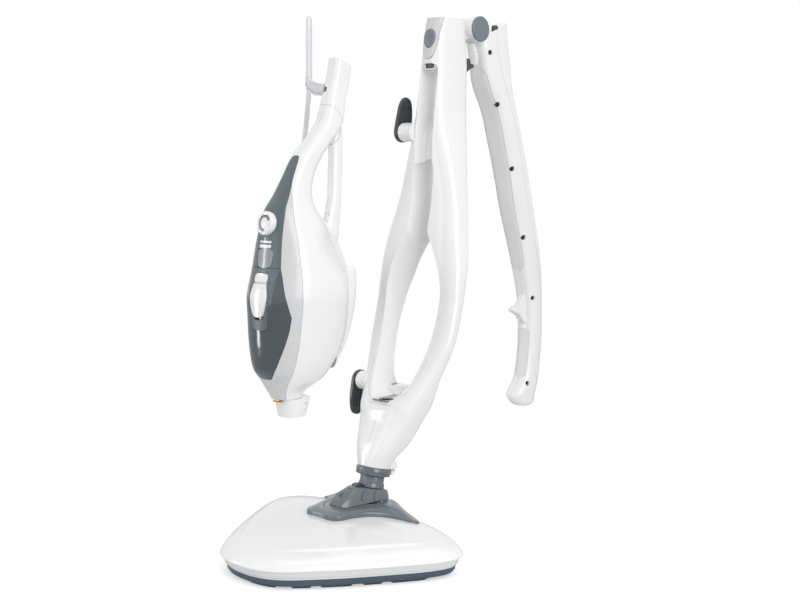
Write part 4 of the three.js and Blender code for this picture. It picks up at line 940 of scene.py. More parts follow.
STUB_ROWS = rows_at(up, [(0, 12.5, 41.5, 14.5), (0.012, 11.5, 42.5, 15.5), (0.04, 9.5, 46, 17.5)], 2.6, 2.6)
STUB_ROWS.append((up(0.054) - GAP, 9, 47, 18, 2.6, 2.6))


def outline(half, grow, corners=()):
    """An outline seen from the front: half of it bottom to top, grown outwards, kept sharp at the corners."""
    spans, run = [], [half[0]]
    for k, point in enumerate(half[1:], 1):
        run.append(point)
        if k in corners or k == len(half) - 1:
            spans.append(run)
            run = [point]
    line = []
    for run in spans:
        line += smooth(run, 5)[:-1] if run is not spans[-1] else smooth(run, 5)
    middle = (half[0][1] + half[-1][1]) / 2
    reach = (half[-1][1] - half[0][1]) / 2
    return mirrored([(max(x + grow, 0) if x > 0.1 else 0, z + grow * (z - middle) / reach) for x, z in line])


# half outlines seen from the front, bottom to top
PANEL = points_at(up, [
    (0, 0.252), (10.5, 0.2525), (13.2, 0.26), (15.2, 0.3), (18, 0.356), (25, 0.415), (22.3, 0.49),
    (19.4, 0.56), (14, 0.617), (9.6, 0.67), (7.2, 0.71), (4.5, 0.722), (0, 0.724)])
TANK = points_at(up, [(0, 0.114), (10, 0.117), (20, 0.145), (30, 0.198), (36, 0.248), (38.5, 0.289),
                      (35.5, 0.33), (30, 0.38), (25, 0.418), (0, 0.42)])
LATCH = points_at(up, [(0, 0.287), (5.2, 0.288), (8.6, 0.296), (12.8, 0.325), (13.8, 0.346), (10.8, 0.372),
                       (9.9, 0.382), (10.5, 0.391), (9.5, 0.402), (5.2, 0.4055), (0, 0.406)])
# where the fascia ends on the flanks, as (y, z) seen from the side
FASCIA = points_at(up, [
    (8, 0.042), (6.5, 0.06), (3.5, 0.085), (1.2, 0.112), (1.8, 0.16), (3.4, 0.22), (5, 0.282), (6.2, 0.345),
    (7.5, 0.415), (9, 0.49), (11, 0.55), (14.5, 0.6), (19, 0.64), (22.5, 0.67), (20, 0.69)])
FRONT, REAR = -60, 38  # planes before the hand unit's front face and behind it


def panel_shape(grow=0.0):
    """The panel's space, grown for the parts that it is let into."""
    return prism("y", outline(PANEL, grow, (5,)), FRONT, REAR)


def tank_shape(grow, back=REAR):
    return prism("y", outline(TANK, grow, (5, 8)), FRONT, back)


def latch_shape(grow=0.0):
    return prism("y", outline(LATCH, grow), FRONT, REAR)


def fascia_shape(grow=0.0):
    line = [(y + grow, z) for y, z in smooth(FASCIA, 6)]
    return prism("x", [(-80, up(0.042))] + line + [(-80, up(0.7))], -80, 80)


def hand_inside(inset, sides=28, step=12.0):
    """The inside of the hand unit's body and rear bar, under a wall of inset."""
    body = column(BODY_ROWS, inset, None, sides, step)
    return join(body, column(STRUT_ROWS, inset * 0.9, 0, sides, step))


def out(obj):
    """Takes a piece made in the docked place to where the hand unit stands."""
    return shift(obj, y=-DOCK)


hand_outer = join(column(BODY_ROWS, sides=128, step=2.5), column(STRUT_ROWS, sides=64))
# the groove that runs round the opening and down the flank between the front and the back shell
BEAD = smooth(points_at(up, [
    (101, 0.815), (88, 0.785), (73, 0.752), (61, 0.721), (50, 0.672), (45.5, 0.62), (50, 0.573), (61, 0.52),
    (71, 0.47), (77, 0.42), (79, 0.36), (77, 0.28), (70, 0.2), (59, 0.14)]), 8)


def along_line(line, wide):
    """A band of a width along a line, as an outline."""
    left, right = [], []
    for k, (u, v) in enumerate(line):
        a, b = line[max(k - 1, 0)], line[min(k + 1, len(line) - 1)]
        length = math.dist(a, b)
        du, dv = (b[1] - a[1]) / length * wide / 2, (a[0] - b[0]) / length * wide / 2
        left.append((u + du, v + dv))
        right.append((u - du, v - dv))
    return left + right[::-1]


bead = prism("x", along_line(BEAD, 1.1), -80, 80)
cut(bead, column(BODY_ROWS, GROOVE, 0, 96, 3), column(STRUT_ROWS, GROOVE, 0, 48, 6))
cut(hand_outer, bead)
hand_inner = hand_inside(WALL)
hand_skin = cut(copy_of(hand_outer), copy_of(hand_inner))

DIAL_Z, DIAL_TILT = up(0.54), 10
dial_front = between(BODY_ROWS, DIAL_Z)[0]
SEAM_Z = up(0.42)  # between the panel and the tank's collar


def on_dial(obj):
    """Places something made about the y axis onto the dial's axis."""
    return shift(spin(obj, -DIAL_TILT, "X"), 0, dial_front, DIAL_Z)


GRIP_END = up(0.815)
# the line behind which the sleeve takes over below its mouth, as (y, z) seen from the side
TUCK = [(98, GRIP_END)] + points_at(up, [(98, 0.8), (95.5, 0.778), (90, 0.76), (82, 0.74), (82, 0.555)])


def tucked(move):
    """The sleeve's space: the back of the grip's top and the rear bar, round the grip's rounded end."""
    line = [(y + move, z) for y, z in TUCK]
    line += [(140, up(0.555) + move), (140, up(1)), (40, up(1)), (40, GRIP_END)]
    rings = []
    for a in (math.radians(degrees) for degrees in (*range(-4, 90, 6), 89.9)):
        plan = oval((27 - move) * math.cos(a), (22 - move) * math.cos(a), (0, 76), 96)
        rings.append([(x, y, GRIP_END + (22 - move) * math.sin(a)) for x, y in plan])
    return cut(prism("x", line, -60, 60), loft(rings, "tongue"))


cuff = within(copy_of(hand_skin), tucked(0.3))
cut(hand_skin, tucked(-0.3))


def lamp_window(foot, waist, brow, low, high):
    """The lamp window's outline from three half widths and the heights of its lower and upper edge."""
    line = points_at(up, [(-foot, low), (foot, low), (waist, 0.445), (brow, high), (-brow, high),
                          (-waist, 0.445)])
    return prism("y", smooth(line, 4, closed=True), FRONT, REAR)


# panel: a ring round the dial and a sunk lamp window, and under a seam the tank's collar
panel = within(copy_of(hand_skin), panel_shape())
join(panel, within(on_dial(rod("y", 15.6, -1, 8.2)), copy_of(hand_outer)))
cut(panel, on_dial(rod("y", 13.8, -10, 5.4)), on_dial(rod("y", 3.3, -10, 20)))
window_cut = within(lamp_window(11.2, 13.6, 12.8, 0.422, 0.4705), skin(BODY_ROWS, -3, 0.9))
latch_room = latch_shape(GAP)
cut(panel, copy_of(latch_room), window_cut)
collar = within(copy_of(panel), box(-60, 60, FRONT, 80, 200, SEAM_Z))
cut(collar, shift(latch_room, z=-3))
cut(panel, box(-60, 60, FRONT, 80, 200, SEAM_Z + GAP))
piece("control_panel_face", out(largest(panel)), SLATE, "hand_unit", "control_panel")
piece("tank_collar_face", out(largest(collar)), SLATE, "tank", "tank_collar")

# lamps: a lens at the bottom of the window, and two light bars over it
lens = within(skin(BODY_ROWS, 0.35, 0.85), lamp_window(10.6, 12.9, 12.1, 0.4245, 0.468))
piece("level_lens", out(lens), LENS, "hand_unit", "level_window")
for k, (share, height) in enumerate(((0.4785, 1.9), (0.4905, 1.2))):
    shape = [(x, up(share) + z) for x, z in ((-9.2, -height), (9.2, -height), (10, 0), (9.2, height),
                                             (-9.2, height), (-10, 0))]
    bar = within(skin(BODY_ROWS, -0.4, 0.4), prism("y", shape, FRONT, REAR))
    piece("lamp_bar_%d" % (k + 1), out(bar), WHITE, "hand_unit")

# dial: a fluted knob whose face carries an open ring and a centre boss
PROUD = 4.6  # how far its face stands in front of the panel
rows = [(5.1, 13.2), (4.8, 13.5)] + [(z - PROUD, radius) for z, radius in (
    (1.4, 13.5), (0.6, 13.1), (0.1, 12.2), (0, 11.2), (0.15, 10.6), (0.3, 10.2), (0.3, 5.6), (0.1, 5.1),
    (0, 4.4), (0, 0.1))]
knob = lathe("y", rows, sides=96)
flute = rod("y", 0.55, 0.8 - PROUD, 4.4, (13.75, 0), 12)
cut(knob, repeated(flute, 40, turn=(0, 9, 0)))
cut(knob, rod("y", 3.2, 2.5, 9))
knob = on_dial(knob)
piece("dial_cap", out(knob), WHITE, "dial", "dial_knob")
ARC = [math.radians(a) for a in range(-38, 219, 8)]
mark = [(9.4 * math.cos(a), 9.4 * math.sin(a)) for a in ARC]
mark += [(6.6 * math.cos(a), 6.6 * math.sin(a)) for a in reversed(ARC)]
mark = prism("y", mark, 0.05 - PROUD, 0.7 - PROUD)
piece("dial_mark", out(on_dial(spin(mark, -60, "Y"))), BLACK, "dial")
piece("dial_axle", out(on_dial(rod("y", 3, 5.4, 16, soft=0.4))), STEEL, "dial", "dial_spindle")
dot = on_dial(rod("y", 1.0, -0.2, 0.6, (0, -17.2), 24))
piece("dial_dot", out(dot), WHITE, "hand_unit")

# tank: hollow, with its valve and its latch
tank = within(copy_of(hand_outer), tank_shape(0, 21))
cut(tank, cut(panel_shape(GAP), hand_inside(2.9)))
tank_room = within(hand_inside(2, 48, 6), tank_shape(-2, 19))
cut(tank_room, cut(panel_shape(GAP + 2), hand_inside(4.9, 48, 6)))
cut(tank, tank_room)
cut(tank, rod("y", 5.3, 17, 22, (0, up(0.15)), 32))
piece("smoky_water_tank", out(largest(tank)), SMOKY, "tank", "water_tank")
valve = lathe("y", [(15, 3.4), (15.6, 5), (19, 5), (19.4, 4.2), (20.4, 4.2), (20.8, 5), (26, 5), (27, 3.2)],
              (0, up(0.15)), 40)
piece("tank_valve_plug", out(valve), SEAL, "tank", "tank_valve")

latch = column(BODY_ROWS, -1.4, 0, 128, 1.5)
cut(latch, column(BODY_ROWS, 2, 0, 96, 4))
within(latch, latch_shape())
# the groove across the latch, under its cap
across = prism("y", points_at(up, [(-16, 0.3785), (16, 0.3785), (16, 0.3815), (-16, 0.3815)]), FRONT, REAR)
across = within(cut(column(BODY_ROWS, -1.5, 0, 128, 1.5), column(BODY_ROWS, GROOVE, 0, 96, 4)), across)
cut(latch, across)
piece("tank_latch_button", out(latch), WHITE, "latch", "tank_latch")

# fascia, and the slatted housing behind the hand unit
fascia = within(copy_of(hand_skin), fascia_shape())
cut(fascia, panel_shape(GAP), tank_shape(GAP))
piece("front_fascia_shell", out(largest(fascia)), PALE, "hand_unit", "front_fascia")

housing = column(HOUSING_ROWS, sides=96, step=2.5)
cut(housing, hollow(HOUSING_ROWS, WALL), box(-60, 60, 30, 76, 200, 400))
slat = prism("y", rounded(-14, 14, up(0.2), up(0.2) + 2.2, 1), 78, 130)
cut(housing, repeated(slat, 9, step=(0, 0, 7.6)))
piece("rear_housing_shell", out(largest(housing)), WHITE, "hand_unit", "rear_housing")

# the white shells, stiffened by three plates inside that let the boiler through
shells = cut(copy_of(hand_skin), fascia_shape(GAP), panel_shape(GAP))
for z, y, radius in ((up(0.215), 46, 19), (up(0.3), 46, 19), (up(0.375), 46, 14)):
    plate = within(box(-60, 60, 24, 140, z - 1.5, z + 1.5), copy_of(hand_inner))
    join(shells, cut(plate, rod("z", radius + GAP, z - 3, z + 3, (0, y), 48)))
cut(shells, column(HOUSING_ROWS, -GAP, None, 96, 2.5), rod("z", 6.3, 150, up(0.1), (0, SEAT_Y), 32))
split(shells, "hand", "hand_unit", -DOCK)
drop(hand_outer, hand_inner, hand_skin)

# sleeve with its slanted mouth, strain relief, foot and jet
RELIEF_Y, RELIEF_Z = 88, up(0.908)
SLANT = [(60, up(1) + 2.5)] + points_at(up, [(92, 1), (117, 0.971), (140, 0.955), (140, 1.2), (60, 1.2)])
sleeve = cut(column(SLEEVE_ROWS, sides=96), prism("x", SLANT, -40, 40))
mouth = prism("x", [(y, z - 2.4) for y, z in SLANT], -40, 40)
cut(sleeve, cut(column(SLEEVE_ROWS, SLEEVE_WALL, -3, 48, 6), mouth))
sleeve = join(within(sleeve, tucked(0.3)), cuff)
cut(sleeve, rod("x", 4.25, -30, -2, (RELIEF_Y, RELIEF_Z), 32))
piece("cord_sleeve_shell", out(largest(sleeve)), WHITE, "hand_unit", "cord_sleeve")

bend = [(-7.5, 0), (-14, 0), (-20, 0.3), (-26, 1.5), (-31, 4), (-35, 8), (-36.7, 12.5), (-37, 17)]
radii = [4.2, 4.6, 4.7, 4.5, 4.3, 4.0, 3.8, 3.6]
relief = sweep([(x, RELIEF_Y, RELIEF_Z + z) for x, z in bend], radii, 32, 8)
web = prism("y", [(x, RELIEF_Z + z) for x, z in (
    (-9.5, -6), (-24, -5), (-35, -1), (-40, 4), (-40.4, 12), (-34, 13.5), (-22, 9), (-9.5, 8),
)], 85.2, 90.8, 1)
join(relief, cut(web, rod("z", 3.3, RELIEF_Z + 4, RELIEF_Z + 40, (-37, RELIEF_Y), 24)))
piece("strain_relief_boot", out(relief), PALE, "hand_unit", "strain_relief")

stub = cut(column(STUB_ROWS, sides=96, step=1.5), rod("z", 6, 150, 260, (0, SEAT_Y), 48))
for spot in points_at(up, [(38, 0.012), (33.5, 0.02), (38.5, 0.029), (33.5, 0.038)]):
    cut(stub, rod("x", 1.15, 8, 30, spot, 20))
piece("nozzle_foot", out(stub), WHITE, "hand_unit", "nozzle_stub")
jet = prism("z", [(-5, 3), (5, 3), (5, 8.5), (-5, 8.5)], up(0.054) - 3.4, up(0.054) - GAP, 0.5)
piece("front_jet_nozzle", out(cut(jet, rod("z", 1, 150, 260, (0, 5.8), 20))), BRASS, "hand_unit", "front_jet")

# ------------------------------------------------------------------ head

HEAD_HALF, HEAD_FRONT, HEAD_BACK = 162, 208, 42
HEAD_MIDDLE = (HEAD_BACK - HEAD_FRONT) * 0.36
HEAD_LINE = mirrored(
    [(x * HEAD_HALF, y * HEAD_FRONT) for x, y in (
        (0, -1), (0.27, -0.952), (0.53, -0.74), (0.8, -0.43), (0.965, -0.2), (1, -0.08))]
    + [(x * HEAD_HALF, y * HEAD_BACK) for x, y in ((0.95, 0.03), (0.78, 0.45), (0.5, 0.82), (0, 1))])
DRAWN_IN = 0.9955  # the curve bulges a little between its points, so the whole outline is drawn in


def head_ring(scale, z, steps=10):
    """The head's outline from above at a height, drawn in or out about its middle."""
    scale *= DRAWN_IN
    return [(x * scale, HEAD_MIDDLE + (y - HEAD_MIDDLE) * scale, z)
            for x, y in smooth(HEAD_LINE, steps, closed=True)]


def head_prism(scale, low, high):
    """The head's outline as an upright prism."""
    return prism("z", [p[:2] for p in head_ring(scale, 0)], low, high)


def head_stack(rows, steps=10):
    """A solid from rows (share of the head's outline, height)."""
    return loft([head_ring(scale, z, steps) for scale, z in rows], "stack")


# the dome's profile from the lip to the crown: share of the outline and height
DOME = [(0.955, 12.5), (1, 22), (0.99, 27.5), (0.94, 34), (0.85, 39.5), (0.73, 44), (0.58, 48), (0.38, 51.6),
        (0.16, 53.5), (0.02, 53.6)]
DOME_TABLE = [(k, scale, z) for k, (scale, z) in enumerate(DOME)]


def dome_profile(start, fine):
    """The dome's profile as (share, height) in small steps, from one of its rows up to the crown."""
    count = round((len(DOME) - 1 - start) * fine)
    return [between(DOME_TABLE, start + (len(DOME) - 1 - start) * k / count) for k in range(count + 1)]


def polar(line, centre):
    """An outline's points as (angle, distance) about a centre, by angle."""
    return sorted((math.atan2(y - centre[1], x - centre[0]), math.hypot(x - centre[0], y - centre[1]))
                  for x, y in line)


def reach_at(angle, table):
    """The distance to such an outline at an angle."""
    i = next((k for k, (a, _) in enumerate(table) if a > angle), 0)
    (a, r), (b, s) = table[i - 1], table[i]
    return r + (s - r) * ((angle - a) % (2 * math.pi)) / max((b - a) % (2 * math.pi), 1e-6)


PROFILE = dome_profile(1, 12)
REACH = polar([p[:2] for p in head_ring(1, 0, 24)], (0, HEAD_MIDDLE))


def dome_height(x, y):
    """The height of the dome's surface over a point of the plan."""
    angle, distance = math.atan2(y - HEAD_MIDDLE, x), math.hypot(x, y - HEAD_MIDDLE)
    share = distance / reach_at(angle, REACH)
    for (s0, z0), (s1, z1) in zip(PROFILE, PROFILE[1:]):
        if s1 <= share <= s0:
            return z0 + (z1 - z0) * (share - s0) / (s1 - s0)
    return PROFILE[-1][1] if share < 0.1 else PROFILE[0][1]


def crease(turn, row):
    """How far the dome swells at a place round its outline and up its profile: a lens on each front flank,
    with a clear lower edge, dying away at both ends and upwards."""
    turn = min(turn, len(HEAD_LINE) - turn)
    along = (turn - 0.75) / 3.6
    if not 0 < along < 1:
        return 0.0
    tall = 1.9 * math.sin(math.pi * along) ** 0.8
    rise = (row - 4.1) / max(tall, 0.01)
    if not 0 < rise < 1:
        return 0.0
    brink = ease(min((row - 4.1) / 0.3, 1))
    return 2.6 * math.sin(math.pi * along) ** 0.7 * brink * (1 - ease(rise))


def dome(lift, fine, steps, creased=False):
    """The dome as a solid, raised by lift, with its lens-shaped swellings if it is creased."""
    profile = dome_profile(0, fine)
    rings = []
    for i, (scale, z) in enumerate(profile):
        row = (len(DOME) - 1) * i / (len(profile) - 1)
        ring = []
        for k, (x, y, level) in enumerate(head_ring(scale, z + lift, steps)):
            swell = crease(k / steps, row) if creased else 0.0
            out_by = 0.75 * swell / max(math.hypot(x, y - HEAD_MIDDLE), 1)
            ring.append((x * (1 + out_by), y + (y - HEAD_MIDDLE) * out_by, level + 0.55 * swell))
        rings.append(ring)
    return loft(rings, "dome")


def dome_inside():
    """The dome's hollow, straight inside the lip and following the crown over it."""
    rows = [(0.905, 11.5), (0.91, 24.5), (0.952, 28)]
    return head_stack(rows + [(scale - WALL / 95, z - WALL) for scale, z in DOME[3:-1]], 3)


def neck_pocket():
    """The hole in the dome and the saddle that the yoke stands in."""
    return prism("z", rounded(-24, 24, -24, 32, 6), 33, 90)


HEAD_SCREWS = [(-70, -110), (70, -110), (-100, -20), (100, -20)]
TRAY_TOP = corner("base_tray", 0, 2) + 3

# the dome: a crowned cover with four bosses inside, and a sunk belt round its foot
cover = dome(0, 12, 12, True)
cut(cover, dome_inside())
bosses = [rod("z", 5, TRAY_TOP + GAP, 74, spot, 24) for spot in HEAD_SCREWS]
join(cover, within(join(*bosses), dome(-1, 2, 3)))
for spot in HEAD_SCREWS:
    cut(cover, rod("z", 1.9, TRAY_TOP - 4, TRAY_TOP + 13, spot, 16))
BAND_LOW, BAND_HIGH = 14.6, 23.4
cut(cover, cut(head_prism(1.05, BAND_LOW, BAND_HIGH), head_prism(0.938, 10, 30)), neck_pocket())
piece("head_dome", largest(cover), WHITE, "head", "head_cover")
# the belt's darker satin white is painted shade on the sunk band round the dome's foot
belt = head_stack([(0.96, BAND_LOW + 0.1), (0.972, BAND_LOW + 2.5), (0.985, BAND_HIGH - 0.1)])
piece("head_belt", cut(belt, head_prism(0.94, 10, 30)), SHADED_SATIN, "head")

SADDLE_LINE = mirrored([(0, -86), (22, -84.5), (28, -79), (33, -60), (43, -36), (60, -17), (80, -6), (82, 1),
                        (74, 9), (54, 17), (30, 24)])
TOP_LINE = mirrored([(0, -74), (14, -73), (22, -67), (27, -52), (32, -34), (36, -16), (37, -4), (34, 6),
                     (24, 12)])


def by_angle(line, centre):
    """An outline's points at even angles about a centre."""
    table = polar(smooth(line, 16, closed=True), centre)
    found = []
    for k in range(160):
        angle = -math.pi + 2 * math.pi * (k + 0.5) / 160
        reach = reach_at(angle, table)
        found.append((centre[0] + reach * math.cos(angle), centre[1] + reach * math.sin(angle)))
    return found


def saddle():
    """The saddle: a rounded rim that follows the dome and sweeps up to a flat top round the neck."""
    middle, top = -18, 61
    outer, inner = by_angle(SADDLE_LINE, (0, middle)), by_angle(TOP_LINE, (0, middle))
    rings = [[(x, y, 30) for x, y in outer]]
    for share in (0, 0.012, 0.03, 0.06, 0.1, 0.16, 0.24, 0.34, 0.46, 0.58, 0.7, 0.8, 0.88, 0.94, 0.98, 1):
        ring = []
        for (a, b), (c, d) in zip(outer, inner):
            x, y = a + (c - a) * share, b + (d - b) * share
            full = 4.2 - 2.6 * ease((abs(x) - 40) / 38)
            rim = 1.4 + full * math.sqrt(1 - (1 - min(share / 0.1, 1)) ** 2)
            low = min(dome_height(x, y) + rim, top)
            ring.append((x, y, low + (top - low) * ease(share) ** 1.15))
        rings.append(ring)
    rings.append([(x * 0.5, middle + (y - middle) * 0.5, top) for x, y in inner])
    return loft(rings, "saddle")


cap = saddle()
cut(cap, dome(GAP, 8, 12), neck_pocket(), box(-16, 16, -34, -20, 30, 90))
# a fine ring scored into its flat top
ring = prism("z", oval(31, 47, (0, -24), 96), 59.6, 70)
cut(cap, cut(ring, prism("z", oval(30, 46, (0, -24), 96), 50, 80)))
piece("saddle_cap", largest(cap), NECK, "head", "saddle_cover")

# sole: a chamfered plate, hollowed below, with a tread of long and short pads round its edge
sole = head_stack([(0.915, 3.4), (0.93, 4.2), (0.944, 7), (0.947, 12), (0.942, 12.5)])
cut(sole, head_prism(0.72, 0, 5.2))
pads = head_stack([(0.878, 0), (0.888, 0.3), (0.895, 1), (0.925, 4.6), (0.925, 5.2)])
cut(pads, head_prism(0.78, -1, 6))
gates = []
for foot, top, first in ((15, 20, 9), (8, 12, 30)):
    gate = prism("y", [(-foot, -1), (foot, -1), (top, 6), (-top, 6)], -300, -30)
    gates.append(shift(spin(repeated(gate, 9, turn=(0, 0, 40)), first, "Z"), 0, -60))
join(sole, within(pads, join(*gates)))
# ribs, steam holes and screw wells inside the tread
rib = prism("z", rounded(-2.6, 2.6, -44, 44, 2.5), 2.4, 7)
join(sole, shift(repeated(rib, 9, step=(17, 0, 0)), -68, -70))
for x, y in [(-60, -92), (-30, -128), (30, -128), (60, -92), (-40, -60), (40, -60)]:
    cut(sole, rod("z", 2, -1, 14, (x, y), 24))
for spot in HEAD_SCREWS:
    cut(sole, rod("z", 4.6, -1, 14, spot, 32))
piece("sole_plate_treaded", largest(sole), SOLE, "head", "sole_plate")

# ------------------------------------------------------------------ neck


def yoke_ring(z, front, back, nose, side):
    """One level of the yoke's block: a nose in front, and corners that are cut off a little."""
    line = [(-nose, front), (nose, front), (side, -4), (side, back - 8), (side - 5, back), (5 - side, back),
            (-side, back - 8), (-side, -4)]
    points = []
    for k, (x, y) in enumerate(line):
        for u, v in (line[k - 1], line[(k + 1) % 8]):
            points.append((x + (u - x) * 0.12, y + (v - y) * 0.12, z))
    return points


def skirt(ring, level):
    """A ring of the yoke let down, where it stands in front, to a level over the saddle."""
    return [(x, y, min(z, (level - PIVOT_Z + y * math.sin(LEAN)) / math.cos(LEAN)) if y < -6 else z)
            for x, y, z in ring]


YOKE_ROWS = [(15, -55, 19, 14.5, 21.5), (16, -54.6, 19, 14.5, 21.5), (18.5, -47, 18.8, 12, 21),
             (25, -36.5, 18, 9.6, 19), (27.6, -32.5, 17.2, 8.8, 17.9), (28.5, -30.8, 16.4, 8, 16.8)]


def yoke_body(grow=0.0):
    """The yoke's block, its two lowest levels let down in front."""
    rings = [yoke_ring(z, front - grow, *(v + grow for v in rest)) for z, front, *rest in YOKE_ROWS]
    return loft([skirt(rings[0], 61.4), skirt(rings[1], 62.6)] + rings[2:], "yoke")


yoke = yoke_body()
fins = box(-1.5, 1.5, -80, 0, -10, 26.5)
for turn in (-66, -34, 34, 66):
    join(fins, spin(box(-1.5, 1.5, -80, 0, -10, 26.5), turn, "Z"))
cut(fins, box(-1.2, 1.2, -80, -10, -10, 40))
join(yoke, within(yoke_body(1.6), fins, box(-60, 60, -90, 60, 15.2, 27)))
slope = prism("x", [(-60, 18), (-46.2, 20), (-37.4, 25.2), (-60, 50)], -5.5, 5.5)
cut(yoke, shift(slope, y=1.2))
join(yoke, rod("x", 12, -13, 13, soft=0.8), box(-13, 13, -9, 9, 0, 20))
cut(yoke, rod("x", PIN_HOLE, -40, 40), rod("z", STEAM_HOLE, -30, 100))
piece("neck_yoke_block", on_neck(yoke), NECK, "neck", "neck_yoke")

tube = lathe("z", [(28.8, 15.6), (29.4, 16.5), (33, 16.5), (34, 15.9), (42.4, 15.4), (43.7, 15.0), (43.7, 12),
                   (77, 12), (78, 11)], sides=96)
cut(tube, rod("z", STEAM_HOLE, -30, 100))
for turn in (45, 135, 225, 315):
    cut(tube, spin(box(14.9, 20, -6, 6, 34.5, 42), turn, "Z"))
piece("neck_tube_stem", on_neck(tube), NECK, "neck", "neck_tube")
ring = lathe("z", [(44, 20.2), (44.7, 21.4), (45.4, 21.7), (47.2, 21.7), (47.5, 21.2), (48.2, 21.2),
                   (48.5, 21.7), (52.8, 21.7), (53.6, 21.2), (54, 20.3)], sides=120)
cut(ring, rod("z", STEM_HOLE, 40, 60), spin(box(19.8, 25, -5.5, 5.5, 50.4, 56), -62, "Z"),
    spin(box(20.8, 25, -3.4, 3.4, 40, 49), -20, "Z"))
piece("neck_collar_ring", on_neck(ring), NECK, "neck", "neck_collar")
clip = prism("x", [(-29, 28.8), (-20, 28.8), (-20, 33), (-23, 33), (-27.5, 31.4), (-29, 29.8)], -5, 5, 0.5)
piece("yoke_release_clip", on_neck(clip), BLACK, "neck", "yoke_clip")

# ------------------------------------------------------------------ mains lead

COIL = [(corner("cord_coil", 0, k) + corner("cord_coil", 1, k)) / 2 for k in range(3)]
BUNDLE = 12  # half the thickness of the wound bundle
COIL_RADIUS = (corner("cord_coil", 1, 2) - corner("cord_coil", 0, 2)) / 2 - BUNDLE
LAYERS, ROWS, LOOP_POINTS = 4, 5, 40  # of the winding, and the points in each turn of it
CORD_MM = 6


def cord_points():
    """The lead's line: up out of its boot, over an arch, round a coil of four layers and down to the plug."""
    hang = [(-37, RELIEF_Y, RELIEF_Z + 17.3), (-37, RELIEF_Y, up(0.96))]
    hang += [(x, y, up(1) + z) for x, y, z in (
        (-37.5, 88.5, 6), (-41, 92, 34), (-51, 101, 48), (-61.5, 110.5, 50.5), (-72, 120, 47), (-81, 128, 32),
        (-84.5, 131, 6))]
    hang += [(x, y, up(share)) for x, y, share in (
        (-85.5, 131, 0.94), (-86.5, 127, 0.84), (-87.3, 120, 0.72), (-88, 111, 0.6), (-89, 105, 0.5))]
    hang = [(x, y - DOCK, z) for x, y, z in hang]
    pitch = CORD_MM * 1.004
    x, y, z = COIL
    outer = COIL_RADIUS + pitch * (LAYERS - 1) / 2
    first = x - pitch * (ROWS - 1) / 2
    hang += [(-92, y - 39, z + 58), (first + 2.5, y - outer - 1.8, z + 34), (first, y - outer - 0.6, z + 14)]
    points = smooth(hang, 14)[:-1]

    def place(turn):
        """The place across the coil and the radius of a whole turn."""
        layer, row = divmod(min(turn, LAYERS * ROWS - 1), ROWS)
        row = row if layer % 2 == 0 else ROWS - 1 - row
        return first + pitch * row, outer - pitch * layer

    last = LAYERS * ROWS - 0.28
    count = round(last * LOOP_POINTS)
    for k in range(count + 1):
        turn = last * k / count
        whole, part = divmod(turn, 1)
        (x0, r0), (x1, r1) = place(int(whole)), place(int(whole) + 1)
        t = ease((part - 0.75) / 0.25)
        angle = math.pi + 2 * math.pi * turn
        radius = r0 + (r1 - r0) * t
        points.append((x0 + (x1 - x0) * t, y + radius * math.cos(angle), z + radius * math.sin(angle)))
    side = x - pitch * ROWS / 2 - CORD_MM / 2 - 0.5
    end = [points[-6], points[-3], points[-1], (first - 1.6, y - 11.5, z + 24.6)]
    end += [(side + dx, y - dy, z + dz) for dx, dy, dz in (
        (1.2, 18.5, 20.5), (0, 26, 16.5), (0, 36, 13), (0.4, 44.5, 9.5), (2.4, 50.6, 5), (6.4, 52.6, 0))]
    end += [(x - dx, y - dy, z - dz) for dx, dy, dz in (
        (6, 52.2, 7), (1.5, 51.6, 15), (0, 51.3, 22), (0, 51.3, 33.8))]
    return points[:-6] + smooth(end, 10)


route = cord_points()
line = bpy.data.curves.new("mains_lead", "CURVE")
line.dimensions = "3D"
line.bevel_depth = CORD_MM / 2 * MM
line.bevel_resolution = 4
line.use_fill_caps = True
spline = line.splines.new("POLY")
spline.points.add(len(route) - 1)
spline.points.foreach_set("co", [v for p in route for v in (p[0] * MM, p[1] * MM, p[2] * MM, 1)])
spline.use_smooth = True
lead = new_object("mains_lead", line)
line.materials.append(LEAD)
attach(lead, "hand_unit")
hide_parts("cord_lead", "cord_coil", "cord_tail")

# the strap round the coil's top: a soft band with its free end lapped over
x, y, z = COIL
low, high = z + COIL_RADIUS - BUNDLE - 0.2, z + COIL_RADIUS + BUNDLE + 0.2
half = 15.4


def band(shell):
    return rounded(x - half - shell, x + half + shell, low - shell, high + shell, 3 + shell)


strap = cut(prism("y", band(1.5), y - 8, y + 8, 0.3), prism("y", band(0.1), y - 30, y + 30))
tab = prism("z", rounded(x - 8, x + 10, y - 8, y + 8, 3), high + 1.2, high + 2.4, 0.2)
piece("coil_strap", join(strap, tab), STRAP, "hand_unit", "cord_tie")

# moulded plug: a stepped grip with grooves on both sides, a boot with rings round the lead, and two blades
PLUG_TOP, PLUG_Y = z - 34, y - COIL_RADIUS - 15.3
rows = [(0, 4.3, 4.3), (-1, 4.6, 4.6), (-13, 5.4, 5.4), (-15, 6, 6.4), (-19, 8.6, 10.4), (-21, 9.3, 11.5),
        (-34, 10, 13), (-35.4, 9.6, 12.6), (-36, 8.8, 11.8)]
grip = loft([section(PLUG_TOP + w, (-b, b, a, 3.2, 3.2, 0), 0, 64) for w, a, b in rows], "plug")
ring = cut(box(-20, 20, -20, 20, PLUG_TOP - 3.2, PLUG_TOP - 2.2), rod("z", 3.9, 0, 900, sides=32))
cut(grip, repeated(ring, 4, step=(0, 0, -2.6)))
for turn in (0, 180):
    groove = box(9.4, 20, -9, 9, PLUG_TOP - 24.5, PLUG_TOP - 23.4)
    cut(grip, spin(repeated(groove, 4, step=(0, 0, -2.4)), turn, "Z"))
